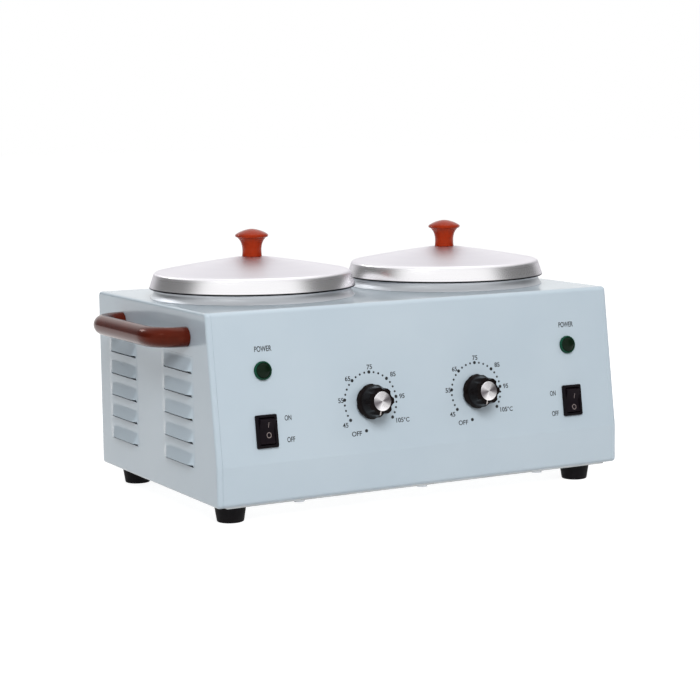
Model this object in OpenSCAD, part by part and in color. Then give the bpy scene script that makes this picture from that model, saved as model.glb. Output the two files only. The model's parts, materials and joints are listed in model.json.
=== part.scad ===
// Double wax warmer: a sheet-steel housing with two heated wells, each with a lift-out pot and a lid.
// Frame: origin on the table under the middle of the object, X to the right, Y to the back, Z up.
// Lengths are in millimetres and angles in degrees.

/* [Housing] */
// Width of the housing over its side panels
body_w = 304; // [300:1:330]
// Depth of the housing at its bottom edge
body_d = 192; // [184:1:210]
// Height of the housing from its bottom edge to the deck
body_h = 121; // [118:1:135]
// Height of the upright lip below the sloping front
lip_h = 25.5; // [18:0.5:30]
// Lean of the front from the vertical
front_tilt = 8; // [4:0.5:10]
// Thickness of the housing's steel sheet
sheet_t = 1; // [0.8:0.1:1.3]
// Outer radius of the bends along the deck's front and back edges
bend_r = 4.5; // [3.5:0.1:6]
// Outer radius of the cover's other bends, at the front's lip and along the bottom
low_bend_r = 3.5; // [3.2:0.1:5]
// Outer radius of the bend all round a side panel
side_bend_r = 2.5; // [2.4:0.1:2.8]
// Flush land between a side panel's bend and the seam
seam_land = 1.2; // [1.1:0.1:2.5]
// Gap at the seam between the cover and a side panel
seam_gap = 0.3; // [0.2:0.05:0.6]
// Depth of the side panels' flanges
side_flange = 10; // [7:0.5:10.5]
// Depth of the cover's flanges under the floor edge
floor_flange = 13; // [10:0.5:13]

/* [Louvres] */
// Length of one louvre
louvre_l = 46; // [36:1:56]
// Height of a louvre's sloping hood above its mouth
louvre_h = 8; // [6:0.5:9.5]
// Length of the sloping end on each side of a hood
louvre_end = 3; // [2:0.5:6]
// How far a louvre stands out of the panel at its mouth
louvre_out = 3; // [2.5:0.5:5]
// Rows of louvres on each side panel
louvre_rows = 5; // [2:1:5]
// Columns of louvres on each side panel
louvre_cols = 2; // [1:1:2]
// Spacing of the louvre rows
louvre_pitch = 15; // [12:0.5:15.5]
// Spacing of the louvre columns
louvre_col_pitch = 91; // [64:1:94]
// Distance from the handle's centre line down to the highest louvre's mouth
louvre_drop = 21.5; // [17:0.5:24]
// Distance from the front lip to the middle of the louvre columns
louvre_y = 103; // [96:1:106]

/* [Base and feet] */
// Thickness of the base plate
plate_t = 1.2; // [1:0.1:2]
// How far the base plate stays inside the ends of the housing
plate_inset_x = 8; // [4:0.5:12]
// How far the base plate stays inside the front and the back
plate_inset_y = 4; // [3:0.5:5]
// Height of a foot
foot_h = 12; // [9:0.5:18]
// Diameter of a foot where it meets the base plate
foot_top_d = 21.5; // [20:0.5:26]
// Diameter of a foot where it meets the table
foot_bottom_d = 17.5; // [14:0.5:20]
// Distance from the end of the housing to a foot's centre
foot_inset_x = 19; // [18:0.5:30]
// Distance from the front lip to a front foot's centre
foot_front_y = 23; // [20:0.5:26]
// Distance from the back to a rear foot's centre
foot_back_y = 17; // [16:0.5:26]
// Ventilation slots under each heater
vent_slots = 5; // [3:1:7]

/* [Handles] */
// Diameter of the handle's bar
handle_d = 13; // [11:0.5:15]
// Straight part of a handle's leg, between the side panel and the bend
handle_leg = 1; // [1:0.5:20]
// Distance between the handle's two legs
handle_span = 106; // [90:1:120]
// Radius of the handle's corners, to the bar's centre line
handle_r = 19; // [14:0.5:26]
// Distance from the deck down to the handle's centre line
handle_drop = 17; // [15:0.5:20]
// Distance from the front lip to the middle of the handle
handle_y = 95; // [85:1:105]

/* [Wells and pots] */
// Room between the feet of the two wells' collars, and twice that between a foot and the housing's end
well_gap = 14; // [12:0.1:20]
// Distance from the front lip to the wells' axes
well_y = 102; // [98:0.5:106]
// Wall of a well
well_t = 1.2; // [1:0.1:1.2]
// Height of the well's collar above the deck
collar_h = 8; // [6:0.5:9]
// Distance from the well's bore to the outside of its collar
collar_w = 5; // [4:0.1:5.1]
// Distance from the collar's outside to the edge of its foot
collar_flare = 2.6; // [1.5:0.1:3]
// Radial gap between a pot and its well
pot_gap = 0.8; // [0.5:0.1:1.2]
// Wall of a pot
pot_t = 1; // [0.8:0.1:1.3]
// Depth of a pot below the deck
pot_depth = 76; // [60:1:78]
// Thickness of the pot's shoulder, which hangs on the collar
shoulder_t = 1.2; // [0.8:0.1:1.5]
// Height of the pot's neck above its shoulder
neck_h = 6.1; // [5.8:0.1:7.5]
// Radial thickness of the bead round the pot's mouth
bead_w = 1.6; // [1.2:0.1:1.7]
// Height of the bead round the pot's mouth
bead_h = 2.4; // [1.5:0.1:2.4]
// Diameter of the bail's wire
bail_d = 2.6; // [2:0.1:2.6]

/* [Lids] */
// Gap between the lid's underside and the pot's bead
lid_seat = 0.3; // [0.2:0.05:0.5]
// Thickness of the lid's sheet
lid_t = 1; // [0.8:0.1:1.2]
// Height of the lid's skirt
skirt_h = 11.2; // [9:0.1:11.5]
// How far the skirt's edge stands outside its shoulder
skirt_flare = 3.6; // [2:0.1:4.5]
// Radial room between the bail and the lid
bail_room = 0.6; // [0.5:0.1:1.2]
// Radius of the lid's shoulder
lid_round = 3; // [2:0.1:3.4]
// Rise of the lid's dome over its radius
dome_rise = 9.2; // [7:0.1:14]
// Diameter of the lid knob's rim
lid_knob_d = 22.5; // [18:0.5:28]
// Diameter of the lid knob's neck
lid_knob_neck = 13.5; // [10:0.5:15]
// Height of the lid knob
lid_knob_h = 18.6; // [16:0.2:24]

/* [Front controls] */
// Distance from the middle to a dial's axis
dial_x = 40.3; // [38:0.1:46]
// Distance from the front's lower edge up the slope to a dial's axis
dial_v = 32.7; // [30:0.1:40]
// Height of a dial knob with its cap, from the front
dial_h = 16; // [14:0.5:20]
// Diameter of a dial knob's skirt
dial_skirt_d = 23; // [21:0.5:26]
// Diameter of a dial knob's grip at its front
dial_grip_d = 18; // [16:0.5:19]
// Diameter of a dial knob's metal cap
dial_cap_d = 13; // [11:0.5:13.5]
// Lobes round a dial knob's grip
dial_lobes = 7; // [6:1:10]
// Angle from straight down to the dial's off mark, clockwise seen from the front
dial_off_angle = 14.3; // [0:0.1:30]
// Diameter of a thermostat's shaft
shaft_d = 6; // [5:0.5:6.5]
// Distance from the housing's end to a switch's centre
switch_inset = 35.6; // [30:0.1:42]
// Distance from the front's lower edge up the slope to a switch's centre
switch_v = 20.4; // [18:0.1:26]
// Width of a switch's bezel
switch_w = 15; // [14:0.5:17]
// Height of a switch's bezel
switch_h = 21; // [20:0.5:24]
// Full tilt of a rocker from off to on
rocker_tilt = 16; // [12:1:18]
// Distance from the housing's end to a lamp's centre
lamp_inset = 36.1; // [30:0.1:42]
// Distance from the front's lower edge up the slope to a lamp's centre
lamp_v = 58.5; // [54:0.1:66]
// Diameter of a lamp's lens
lamp_d = 12; // [10:0.5:14]

/* [Power inlet] */
// Height of the inlet's centre above the housing's bottom edge
inlet_z = 36; // [30:0.5:50]
// Width of the inlet's flange
inlet_flange_w = 50; // [48:0.5:54]
// Height of the inlet's flange
inlet_flange_h = 23; // [22.5:0.5:27]
// Thickness of the inlet's flange
inlet_flange_t = 2.5; // [2:0.1:3.5]
// Distance between the inlet's two screws
inlet_screw_pitch = 40; // [38:0.5:42]
// Depth of the inlet's body behind the flange
inlet_depth = 20; // [18:0.5:24]

/* [Hidden] */
$fn = 64;

// Colours as the photograph shows them
steel_blue = [0.72, 0.80, 0.84];
aluminium = [0.84, 0.84, 0.86];
bakelite_red = [0.48, 0.13, 0.07];
black = [0.07, 0.06, 0.06];
zinc = [0.66, 0.67, 0.68];
lamp_green = [0.03, 0.25, 0.12];
brass = [0.75, 0.62, 0.32];
mica = [0.62, 0.55, 0.45];
wire_red = [0.62, 0.18, 0.12];
cream = [0.85, 0.84, 0.80];

// Clearances and cutting allowances
slip = 0.3;          // gap between pieces that lift off or lie side by side
run_fit = 0.08;      // radial clearance of a pin or shaft that turns
screw_fit = 0.05;    // radial clearance of a screw in its hole
eps = 0.01;
cut = 1;             // how far a cutting solid runs past the face it cuts

// Screw sizes: radius of the thread, of the head, and the head's height
m3_r = 1.5;
m3_head_r = 2.8;
m3_head_h = 1.8;
m4_r = 2;
m4_head_r = 3.6;
m4_head_h = 2.4;
m4_nut_h = 3.2;
plate_screw_l = 8;
low_head_h = 1.4;
m5_r = 2.5;
m5_head_r = 4.5;
m5_head_h = 3;
nut_grow = 1.75;     // across-corner radius of a nut over its thread's radius

// Heights and planes of the housing
housing_z = foot_h + plate_t;
deck_z = housing_z + body_h;
set_back = (body_h - lip_h) * tan(front_tilt);
front_reach = dial_h * cos(front_tilt) + dial_cap_d / 2 * sin(front_tilt) - dial_v * sin(front_tilt);
front_y = -(body_d + inlet_flange_t - front_reach) / 2;
back_y = front_y + body_d;
cover_half = body_w / 2 - side_bend_r - seam_land - seam_gap;
handle_out = handle_leg + handle_r;
handle_z = body_h - handle_drop;
louvre_z = handle_z - louvre_drop - (louvre_rows - 1) * louvre_pitch;

// Outline of the housing seen from its end, as [y, z], counterclockwise from the front's lower edge
outline = [[front_y, housing_z + lip_h], [front_y, housing_z], [back_y, housing_z],
    [back_y, deck_z], [front_y + set_back, deck_z]];
outline_r = [low_bend_r, low_bend_r, low_bend_r, bend_r, bend_r];

// Wells and pots: each well stands in the middle of its half of the housing
well_x = body_w / 4;
collar_foot_r = well_x - well_gap / 2;
collar_ro = collar_foot_r - collar_flare;
well_ri = collar_ro - collar_w;
well_ro = well_ri + well_t;
deck_hole_r = well_ro + 0.6;
pot_ro = well_ri - pot_gap;
pot_ri = pot_ro - pot_t;
pot_bottom_z = deck_z - pot_depth;
well_floor_t = 1.5;
well_floor_z = pot_bottom_z - slip - well_floor_t;
shoulder_z = deck_z + collar_h + slip;
shoulder_r = collar_ro - 1.2;
bead_top_z = shoulder_z + shoulder_t + neck_h;
bead_ro = pot_ro + bead_w;
bail_r = bead_ro + slip + bail_d / 2 + 0.1;
bail_z = bead_top_z - bead_h - bail_d / 2 - 0.2;
pot_round = 6;

// Lid, measured from the seat on the pot's bead
lid_under_z = bead_top_z + lid_seat;
lid_inner_r = bail_r + bail_d / 2 + bail_room;
lid_shoulder_r = lid_inner_r + lid_t;
lid_edge_r = lid_shoulder_r + skirt_flare - 0.9;
lid_pad_r = 8;
lid_hole_r = m4_r + screw_fit;
dome_slope = dome_rise / (lid_shoulder_r - lid_pad_r);
lid_shoulder_z = lid_under_z + lid_t - (bead_ro - (lid_shoulder_r - lid_round)) * dome_slope;
lid_edge_z = lid_shoulder_z - skirt_h;
lid_top_z = lid_shoulder_z + dome_rise;

// Depths of the handle screws in the legs and of the foot screws' heads in the feet
handle_screw_in = 8;
foot_sink = foot_h * 0.45;

// Heater under the well, its stud and bracket
stud_r = 3;
heater_r = 48;
heater_t = 5;
heater_tab_x = 30;
heater_tab_y = 10;
heater_z = well_floor_z - slip - heater_t;
bracket_w = 24;
bracket_t = 1.5;
bracket_reach = 46;
bracket_foot = 14;
bracket_z = heater_z - slip;
stud_nut_h = 5;
stud_l = well_floor_z - bracket_z + bracket_t + stud_nut_h + 2;

// Controls
switch_x = body_w / 2 - switch_inset;
lamp_x = body_w / 2 - lamp_inset;
panel_clear = 0.5;
dial_recess_r = 8.9;
dial_recess_h = 3.6;
dial_skirt_t = 2.2;
dial_cap_t = 0.6;
shaft_r = shaft_d / 2;
bushing_r = 5;
bushing_out = 2.8;
bushing_nut_h = 2.4;
thermostat_w = 34;
thermostat_h = 36;
thermostat_d = 20;
thermostat_tab_x = 8;
thermostat_tab_v = 8;
shaft_tail = 8;
switch_body_w = switch_w - 2.2;
switch_body_h = switch_h - 2.2;
switch_body_d = 17;
bezel_t = 2;
rocker_w = switch_w - 4.8;
rocker_r = switch_h / 2 - 2.1;
rocker_depth = 3;
rocker_gap = 0.3;
rocker_pin_r = 0.7;
rocker_pin_l = 0.9;
lamp_flange_t = 1.2;
lamp_dome_h = 2;
lamp_body_r = lamp_d / 2 - 1.2;
lamp_body_l = 22;

// Power inlet and terminal block
inlet_cut_w = 27.4;
inlet_cut_h = 20;
inlet_socket_w = 24.4;
inlet_socket_h = 16.4;
inlet_socket_d = 16;
inlet_corner = 4;
inlet_screw_l = 8;
inlet_nut_h = 2.4;
inlet_pin_places = [[-7, -2], [7, -2], [0, 2]];
pin_w = 4;
pin_t = 2;
tab_w = 4.8;
tab_t = 0.8;
tab_l = 7;
block_w = 54;
block_l = 16;
block_h = 13;
block_y = 138;
block_poles = 6;
block_pitch = block_w / block_poles;
block_bore_z = 4.5;
wire_r = 1.1;
sleeve_r = 2.2;
sleeve_l = 6.5;

// Sensor bulbs lie against the wells' walls on the side of the dials
bulb_r = 3;
bulb_l = 46;
bulb_turn = 60;
bulb_z = 64;

// Screws through the cover's back, from its floor flange up and from its top bend down
panel_screw_l = 6;
panel_screw_rise = 10;
panel_screw_drop = 14;

// Places that several pieces share, as [x, y]
function side_x(s) = s * well_x;
foot_places = [for (s = [-1, 1]) for (y = [front_y + foot_front_y, back_y - foot_back_y])
    [s * (body_w / 2 - foot_inset_x), y]];
base_screw_rows = [front_y + (floor_flange + plate_inset_y) / 2, back_y - (floor_flange + plate_inset_y) / 2];
base_screw_places = [for (x = [-0.3, 0, 0.3]) for (y = base_screw_rows) [x * body_w, y]];
bracket_places = [for (s = [-1, 1]) for (e = [-1, 1])
    [side_x(s), front_y + well_y + e * (bracket_reach + bracket_foot / 2)]];
handle_leg_y = [for (e = [-1, 1]) front_y + handle_y + e * handle_span / 2];
panel_screw_rows = [housing_z + floor_flange + panel_screw_rise, deck_z - bend_r - panel_screw_drop];
panel_screw_x = body_w / 2 - side_bend_r - seam_land - seam_gap - m3_head_r - 0.4;
louvre_mouths = [for (c = [0 : louvre_cols - 1]) for (r = [0 : louvre_rows - 1])
    [front_y + louvre_y + (c - (louvre_cols - 1) / 2) * louvre_col_pitch,
     housing_z + louvre_z + r * louvre_pitch]];

// Points of the wiring
inward = [0, cos(front_tilt), -sin(front_tilt)];
function front_pt(x, v, out) = [x, front_y + v * sin(front_tilt) - out * cos(front_tilt),
    housing_z + lip_h + v * cos(front_tilt) + out * sin(front_tilt)];
function block_x(i) = (i - (block_poles - 1) / 2) * block_pitch;
function block_port(i, e) = [block_x(i), front_y + block_y + e * 3, housing_z + block_bore_z];
function switch_tab(s, k) = front_pt(s * switch_x, switch_v + 5 * k, -switch_body_d - tab_l);
function thermostat_tab(s, e) = front_pt(s * dial_x + e * thermostat_tab_x, dial_v - thermostat_tab_v,
    -sheet_t - thermostat_d - tab_l);
function heater_tab(s, e) = [side_x(s) - s * heater_tab_x, front_y + well_y + e * heater_tab_y,
    heater_z - tab_l];

// Plane geometry of rounded corners
function unit(v) = v / norm(v);
function along(a, b) = unit(b - a);
function left_of(d) = [-d[1], d[0]];
function before(p, i) = p[(i + len(p) - 1) % len(p)];
function after(p, i) = p[(i + 1) % len(p)];
function turn_at(a, b, c) = acos(min(1, along(a, b) * along(b, c)));
function tangent_l(a, b, c, r) = r * tan(turn_at(a, b, c) / 2);
function corner_in(a, b, c, r) = b - along(a, b) * tangent_l(a, b, c, r);
function corner_centre(a, b, c, r) = corner_in(a, b, c, r) + left_of(along(a, b)) * r;
function heading(a, b) = atan2(b[1] - a[1], b[0] - a[0]);
function arc_pts(c, r, a0, a1, n = 8) = [for (i = [0 : n]) let (a = a0 + (a1 - a0) * i / n)
    c + r * [cos(a), sin(a)]];

// Puts a drawing made in [y, z] upright, with its height along X
module end_on() { rotate([90, 0, 90]) children(); }
// Puts children on the sloping front: X right, Y up the slope, Z out of the front
module on_front(x, v) {
    translate([x, front_y + v * sin(front_tilt), housing_z + lip_h + v * cos(front_tilt)])
        rotate([90 - front_tilt, 0, 0]) children();
}
// Puts children on the back, Z out of the back and Y up
module on_back(x, z) { translate([x, back_y, z]) rotate([90, 0, 180]) children(); }
module at_well(s) { translate([side_x(s), front_y + well_y, 0]) children(); }
module box_xy(w, h, z0, z1) { translate([-w / 2, -h / 2, z0]) cube([w, h, z1 - z0]); }
module rod(r, z0, z1) { translate([0, 0, z0]) cylinder(r = r, h = z1 - z0); }
module hex(r, z0, z1) { translate([0, 0, z0]) cylinder(r = r, h = z1 - z0, $fn = 6); }

// One folded sheet seen edge on, its outer face along the path and its thickness to the left
function bent_edge(p, r, inset) = concat([p[0] + left_of(along(p[0], p[1])) * inset],
    [for (i = [1 : len(p) - 2])
        let (a0 = heading(p[i - 1], p[i]) - 90, turn = turn_at(p[i - 1], p[i], p[i + 1]),
             c = corner_centre(p[i - 1], p[i], p[i + 1], r[i]))
        each arc_pts(c, r[i] - inset, a0, a0 + turn, ceil(turn / 8))],
    [p[len(p) - 1] + left_of(along(p[len(p) - 2], p[len(p) - 1])) * inset]);
function reversed(p) = [for (i = [len(p) - 1 : -1 : 0]) p[i]];
module folded_sheet(p, r, t) { polygon(concat(bent_edge(p, r, 0), reversed(bent_edge(p, r, t)))); }

// Smooth tube through chosen points, with flat ends
function spline(p, k) = let (n = len(p) - 1) concat([for (i = [0 : n - 1]) for (j = [0 : k - 1])
    let (a = p[max(i - 1, 0)], b = p[i], c = p[i + 1], d = p[min(i + 2, n)], u = j / k)
    b + 0.5 * u * ((c - a) + u * ((2 * a - 5 * b + 4 * c - d) + u * (3 * (b - c) + d - a)))], [p[n]]);
function heading3(p, i) = unit(p[min(i + 1, len(p) - 1)] - p[max(i - 1, 0)]);
function ring3(c, d, r, n, up) = let (u = unit(cross(d, up)), v = cross(d, u))
    [for (k = [0 : n - 1]) c + r * (cos(k * 360 / n) * u + sin(k * 360 / n) * v)];
module tube(p, r, n = 8, up = [0.31, 0.42, 0.85]) {
    m = len(p);
    pts = [for (i = [0 : m - 1]) each ring3(p[i], heading3(p, i), r, n, up)];
    sides = [for (i = [0 : m - 2]) for (k = [0 : n - 1]) for (h = [0, 1])
        h == 0 ? [i * n + k, (i + 1) * n + k, i * n + (k + 1) % n]
               : [i * n + (k + 1) % n, (i + 1) * n + k, (i + 1) * n + (k + 1) % n]];
    caps = concat([for (k = [1 : n - 2]) [0, k, k + 1]],
        [for (k = [1 : n - 2]) [(m - 1) * n, (m - 1) * n + k + 1, (m - 1) * n + k]]);
    polyhedron(points = pts, faces = concat(sides, caps));
}

// Front, deck and back of the housing, folded from one sheet
module housing_cover() {
    path = [[back_y - floor_flange, housing_z], outline[2], outline[3], outline[4], outline[0], outline[1],
        [front_y + floor_flange, housing_z]];
    radii = [0, low_bend_r, bend_r, bend_r, low_bend_r, low_bend_r, 0];
    color(steel_blue) difference() {
        translate([-cover_half, 0, 0]) end_on()
            linear_extrude(2 * cover_half) folded_sheet(path, radii, sheet_t);
        for (s = [-1, 1]) {
            at_well(s) rod(deck_hole_r, deck_z - sheet_t - cut, deck_z + cut);
            on_front(s * dial_x, dial_v) rod(bushing_r + screw_fit, -sheet_t - cut, cut);
            on_front(s * switch_x, switch_v)
                box_xy(switch_body_w + 2 * slip, switch_body_h + 2 * slip, -sheet_t - cut, cut);
            on_front(s * lamp_x, lamp_v) rod(lamp_body_r + slip, -sheet_t - cut, cut);
            on_back(s * inlet_screw_pitch / 2, housing_z + inlet_z)
                rod(m3_r + screw_fit, -sheet_t - cut, cut);
        }
        on_back(0, housing_z + inlet_z)
            box_xy(inlet_cut_w + 2 * slip, inlet_cut_h + 2 * slip, -sheet_t - cut, cut);
        for (p = base_screw_places) translate([p[0], p[1], housing_z])
            rod(m4_r + screw_fit, -cut, sheet_t + cut);
        panel_screw_tools(m3_r + screw_fit);
    }
}

// Straight bores for the screws that join the cover's back to the side panels' flanges
module panel_screw_tools(r) {
    for (s = [-1, 1]) for (z = panel_screw_rows)
        translate([s * panel_screw_x, back_y + cut, z]) rotate([90, 0, 0])
            rod(r, 0, cut + 2 * sheet_t + seam_gap + cut);
}

module panel_screws() {
    color(zinc) for (s = [-1, 1]) for (z = panel_screw_rows)
        translate([s * panel_screw_x, back_y, z]) rotate([90, 0, 0]) {
            rod(m3_r, 0, panel_screw_l);
            rod(m3_head_r, -m3_head_h, 0);
        }
}

// Outline of a side panel, drawn in [y, z] and set in by the given amount
function panel_outline(inset) = let (n = len(outline)) [for (i = [0 : n - 1])
    let (a = before(outline, i), p = outline[i], c = after(outline, i), r = outline_r[i],
         a0 = heading(a, p) - 90, turn = turn_at(a, p, c))
    each arc_pts(corner_centre(a, p, c, r), r - inset, a0, a0 + turn, ceil(turn / 8))];
module panel_slab(inset, depth, end) {
    translate([0, 0, depth]) linear_extrude(end - depth) polygon(panel_outline(inset));
}
// The same slab with its edges at the face rounded; the face lies at the given depth
module eased_slab(inset, depth, end, r) {
    n = len(outline);
    difference() {
        panel_slab(inset, depth, end);
        for (i = [0 : n - 1]) {
            a = outline[i];
            b = after(outline, i);
            translate([a[0], a[1], depth]) rotate([0, 0, heading(a, b) - 90]) translate([-inset, -20, 0])
                rotate([-90, 0, 0]) linear_extrude(norm(b - a) + 40)
                    polygon(concat([[-r, cut], [cut, cut], [cut, -r]], arc_pts([-r, -r], r, 0, 90)));
        }
    }
}

// Closed solid of one louvre's hood over its mouth: a ramp with sloping ends, down to the given depth.
// The hollow is the same solid with its three slopes moved in by the sheet's thickness.
module louvre_hood(inset, depth) {
    face_k = louvre_h / louvre_out;
    end_k = louvre_end / louvre_out;
    lip = louvre_out - inset * sqrt(1 + 1 / (face_k * face_k));
    half = louvre_l / 2 - inset * sqrt(1 + end_k * end_k);
    intersection() {
        translate([-louvre_l, 0, 0]) end_on() linear_extrude(2 * louvre_l)
            polygon([[0, -lip], [0, depth], [(lip + depth) * face_k, depth]]);
        translate([0, 3 * louvre_h, 0]) rotate([90, 0, 0]) linear_extrude(4 * louvre_h)
            polygon([[-half - end_k * depth, depth], [-half + louvre_end, -louvre_out],
                [half - louvre_end, -louvre_out], [half + end_k * depth, depth]]);
    }
}

// Side panel drawn in [y, z] with its outer face at height 0, ready to stand on its end.
// Its rim is bent over, and its flange steps in under the cover.
module side_tray() {
    step_in = sheet_t + seam_gap;
    rim_end = side_bend_r + seam_land;
    difference() {
        eased_slab(0, 0, rim_end, side_bend_r);
        eased_slab(sheet_t, sheet_t, rim_end + cut, side_bend_r - sheet_t);
    }
    difference() {
        union() {
            panel_slab(0, rim_end - sheet_t, rim_end);
            panel_slab(step_in, rim_end - sheet_t, side_flange);
        }
        panel_slab(step_in + sheet_t, rim_end - sheet_t - cut, side_flange + cut);
    }
}

module side_panel() {
    color(steel_blue) difference() {
        translate([-body_w / 2, 0, 0]) end_on() difference() {
            union() {
                side_tray();
                for (p = louvre_mouths) translate([p[0], p[1], 0]) louvre_hood(0, sheet_t);
            }
            for (p = louvre_mouths) translate([p[0], p[1] - eps, 0]) louvre_hood(sheet_t, sheet_t + cut);
            for (y = handle_leg_y) translate([y, housing_z + handle_z, 0])
                rod(m5_r + screw_fit, -cut, sheet_t + cut);
        }
        panel_screw_tools(m3_r + screw_fit);
    }
}
module left_side_panel() { side_panel(); }
module right_side_panel() { mirror([1, 0, 0]) side_panel(); }

// Carry handle: a bar with two legs that stand on the side panel
module handle() {
    color(bakelite_red) translate([-body_w / 2, 0, housing_z + handle_z]) difference() {
        union() {
            for (e = [0, 1]) translate([0, handle_leg_y[e], 0]) {
                rotate([0, -90, 0]) rod(handle_d / 2, 0, handle_leg);
                translate([-handle_leg, (1 - 2 * e) * handle_r, 0]) rotate([0, 0, e == 0 ? 180 : 90])
                    rotate_extrude(angle = 90) translate([handle_r, 0]) circle(d = handle_d);
            }
            translate([-handle_out, handle_leg_y[1] - handle_r, 0]) rotate([90, 0, 0])
                rod(handle_d / 2, 0, handle_span - 2 * handle_r);
        }
        for (y = handle_leg_y) translate([0, y, 0]) rotate([0, -90, 0])
            rod(m5_r + screw_fit, -cut, handle_screw_in + 1);
    }
}
module left_handle() { handle(); }
module right_handle() { mirror([1, 0, 0]) handle(); }

// Screws from inside the housing into the handles' legs, each with its washer
module handle_screws() {
    washer_t = 1;
    color(zinc) for (s = [-1, 1]) for (y = handle_leg_y)
        translate([s * (body_w / 2 - sheet_t), y, housing_z + handle_z]) rotate([0, s * 90, 0]) {
            rod(m5_r, -washer_t, sheet_t + handle_screw_in);
            rod(m5_head_r + 1.5, -washer_t, 0);
            rod(m5_head_r, -washer_t - m5_head_h, -washer_t);
        }
}

// Base plate under the cover's floor flanges
module base_plate() {
    w = body_w - 2 * plate_inset_x;
    d = body_d - 2 * plate_inset_y;
    slot_w = 4;
    slot_l = 44;
    slot_pitch = 9;
    color(zinc) difference() {
        translate([-w / 2, front_y + plate_inset_y, foot_h]) cube([w, d, plate_t]);
        for (p = concat(foot_places, base_screw_places, bracket_places))
            translate([p[0], p[1], foot_h]) rod(m4_r + screw_fit, -cut, plate_t + cut);
        for (s = [-1, 1]) for (i = [0 : vent_slots - 1])
            translate([side_x(s), front_y + well_y + (i - (vent_slots - 1) / 2) * slot_pitch, foot_h]) {
                box_xy(slot_l, slot_w, -cut, plate_t + cut);
                for (e = [-1, 1]) translate([e * slot_l / 2, 0, 0]) rod(slot_w / 2, -cut, plate_t + cut);
            }
    }
}

// Tapered rubber foot with a sunk hole for its screw
module foot(p) {
    color(black) translate([p[0], p[1], 0]) difference() {
        cylinder(r1 = foot_bottom_d / 2, r2 = foot_top_d / 2, h = foot_h);
        rod(m4_head_r + 0.8, -cut, foot_sink);
        rod(m4_r + screw_fit, 0, foot_h + cut);
    }
}
module front_left_foot() { foot(foot_places[0]); }
module rear_left_foot() { foot(foot_places[1]); }
module front_right_foot() { foot(foot_places[2]); }
module rear_right_foot() { foot(foot_places[3]); }

module foot_screws() {
    color(zinc) for (p = foot_places) translate([p[0], p[1], 0]) {
        rod(m4_r, foot_sink, housing_z + m4_nut_h + 1.7);
        rod(m4_head_r, foot_sink - m4_head_h, foot_sink);
    }
}

module foot_nuts() {
    color(zinc) for (p = foot_places) translate([p[0], p[1], housing_z]) difference() {
        hex(m4_r * nut_grow, 0, m4_nut_h);
        rod(m4_r + screw_fit, -cut, m4_nut_h + cut);
    }
}

module base_screws() {
    color(zinc) for (p = base_screw_places) translate([p[0], p[1], foot_h]) {
        rod(m4_r, 0, plate_screw_l);
        rod(m4_head_r, -low_head_h, 0);
    }
}

// Spun well: cup, rolled collar over the deck and a flared foot on it, with a stud under its floor
module well(s) {
    roll = 1;
    ri = well_ri;
    t = well_t;
    zc = deck_z + collar_h;
    floor_r = pot_round + well_floor_t;
    section = concat(
        [[0, well_floor_z]],
        arc_pts([well_ro - floor_r, well_floor_z + floor_r], floor_r, -90, 0),
        [[well_ro, zc - t - roll], [well_ro + roll * 0.3, zc - t - roll * 0.3], [well_ro + roll, zc - t],
         [collar_ro - t - roll * 0.6, zc - t], [collar_ro - t, zc - t - roll], [collar_ro - t, deck_z + 2.4],
         [collar_ro - t + 0.5, deck_z + 0.9], [collar_ro - t + 1.4, deck_z],
         [collar_foot_r, deck_z], [collar_foot_r, deck_z + 0.8]],
        arc_pts([collar_ro + 1.8, deck_z + 3], 1.8, -90, -180, 5),
        arc_pts([collar_ro - 1.5, zc - 1.5], 1.5, 0, 90, 5),
        arc_pts([ri + 1.5, zc - 1.5], 1.5, 90, 180, 5),
        arc_pts([ri - pot_round, well_floor_z + well_floor_t + pot_round], pot_round, 0, -90),
        [[0, well_floor_z + well_floor_t]]);
    color(aluminium) at_well(s) {
        rotate_extrude($fn = 128) polygon(section);
        rod(stud_r, well_floor_z - stud_l, well_floor_z);
    }
}
module left_well() { well(-1); }
module right_well() { well(1); }

// Round heating plate on the stud, with two blade terminals below it
module heater(s) {
    color(mica) at_well(s) {
        difference() {
            rod(heater_r, heater_z, heater_z + heater_t);
            rod(stud_r + screw_fit, heater_z - cut, heater_z + heater_t + cut);
            translate([0, 0, heater_z]) difference() {
                rod(heater_r - 6, -cut, 1);
                rod(heater_r - 30, -cut, 1);
            }
        }
        for (e = [-1, 1]) translate([-s * heater_tab_x, e * heater_tab_y, heater_z - tab_l])
            box_xy(tab_t, tab_w, 0, tab_l + 1.5);
    }
}
module left_heater() { heater(-1); }
module right_heater() { heater(1); }

// Hat-shaped strap that carries the well's stud on the base plate
module well_bracket(s) {
    rise = bracket_z - housing_z;
    color(zinc) at_well(s) difference() {
        union() {
            translate([0, 0, bracket_z - bracket_t]) box_xy(bracket_w, 2 * bracket_reach, 0, bracket_t);
            for (e = [-1, 1]) {
                translate([0, e * (bracket_reach - bracket_t / 2), housing_z])
                    box_xy(bracket_w, bracket_t, 0, rise);
                translate([0, e * (bracket_reach + bracket_foot / 2 - bracket_t / 2), housing_z])
                    box_xy(bracket_w, bracket_foot + bracket_t, 0, bracket_t);
            }
        }
        rod(stud_r + screw_fit, bracket_z - bracket_t - cut, bracket_z + cut);
        for (e = [-1, 1]) translate([0, e * (bracket_reach + bracket_foot / 2), housing_z])
            rod(m4_r + screw_fit, -cut, bracket_t + cut);
    }
}
module left_well_bracket() { well_bracket(-1); }
module right_well_bracket() { well_bracket(1); }

module stud_nuts() {
    z = bracket_z - bracket_t;
    color(zinc) for (s = [-1, 1]) at_well(s) difference() {
        hex(stud_r * nut_grow, z - stud_nut_h, z);
        rod(stud_r + screw_fit, z - stud_nut_h - cut, z + cut);
    }
}

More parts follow.
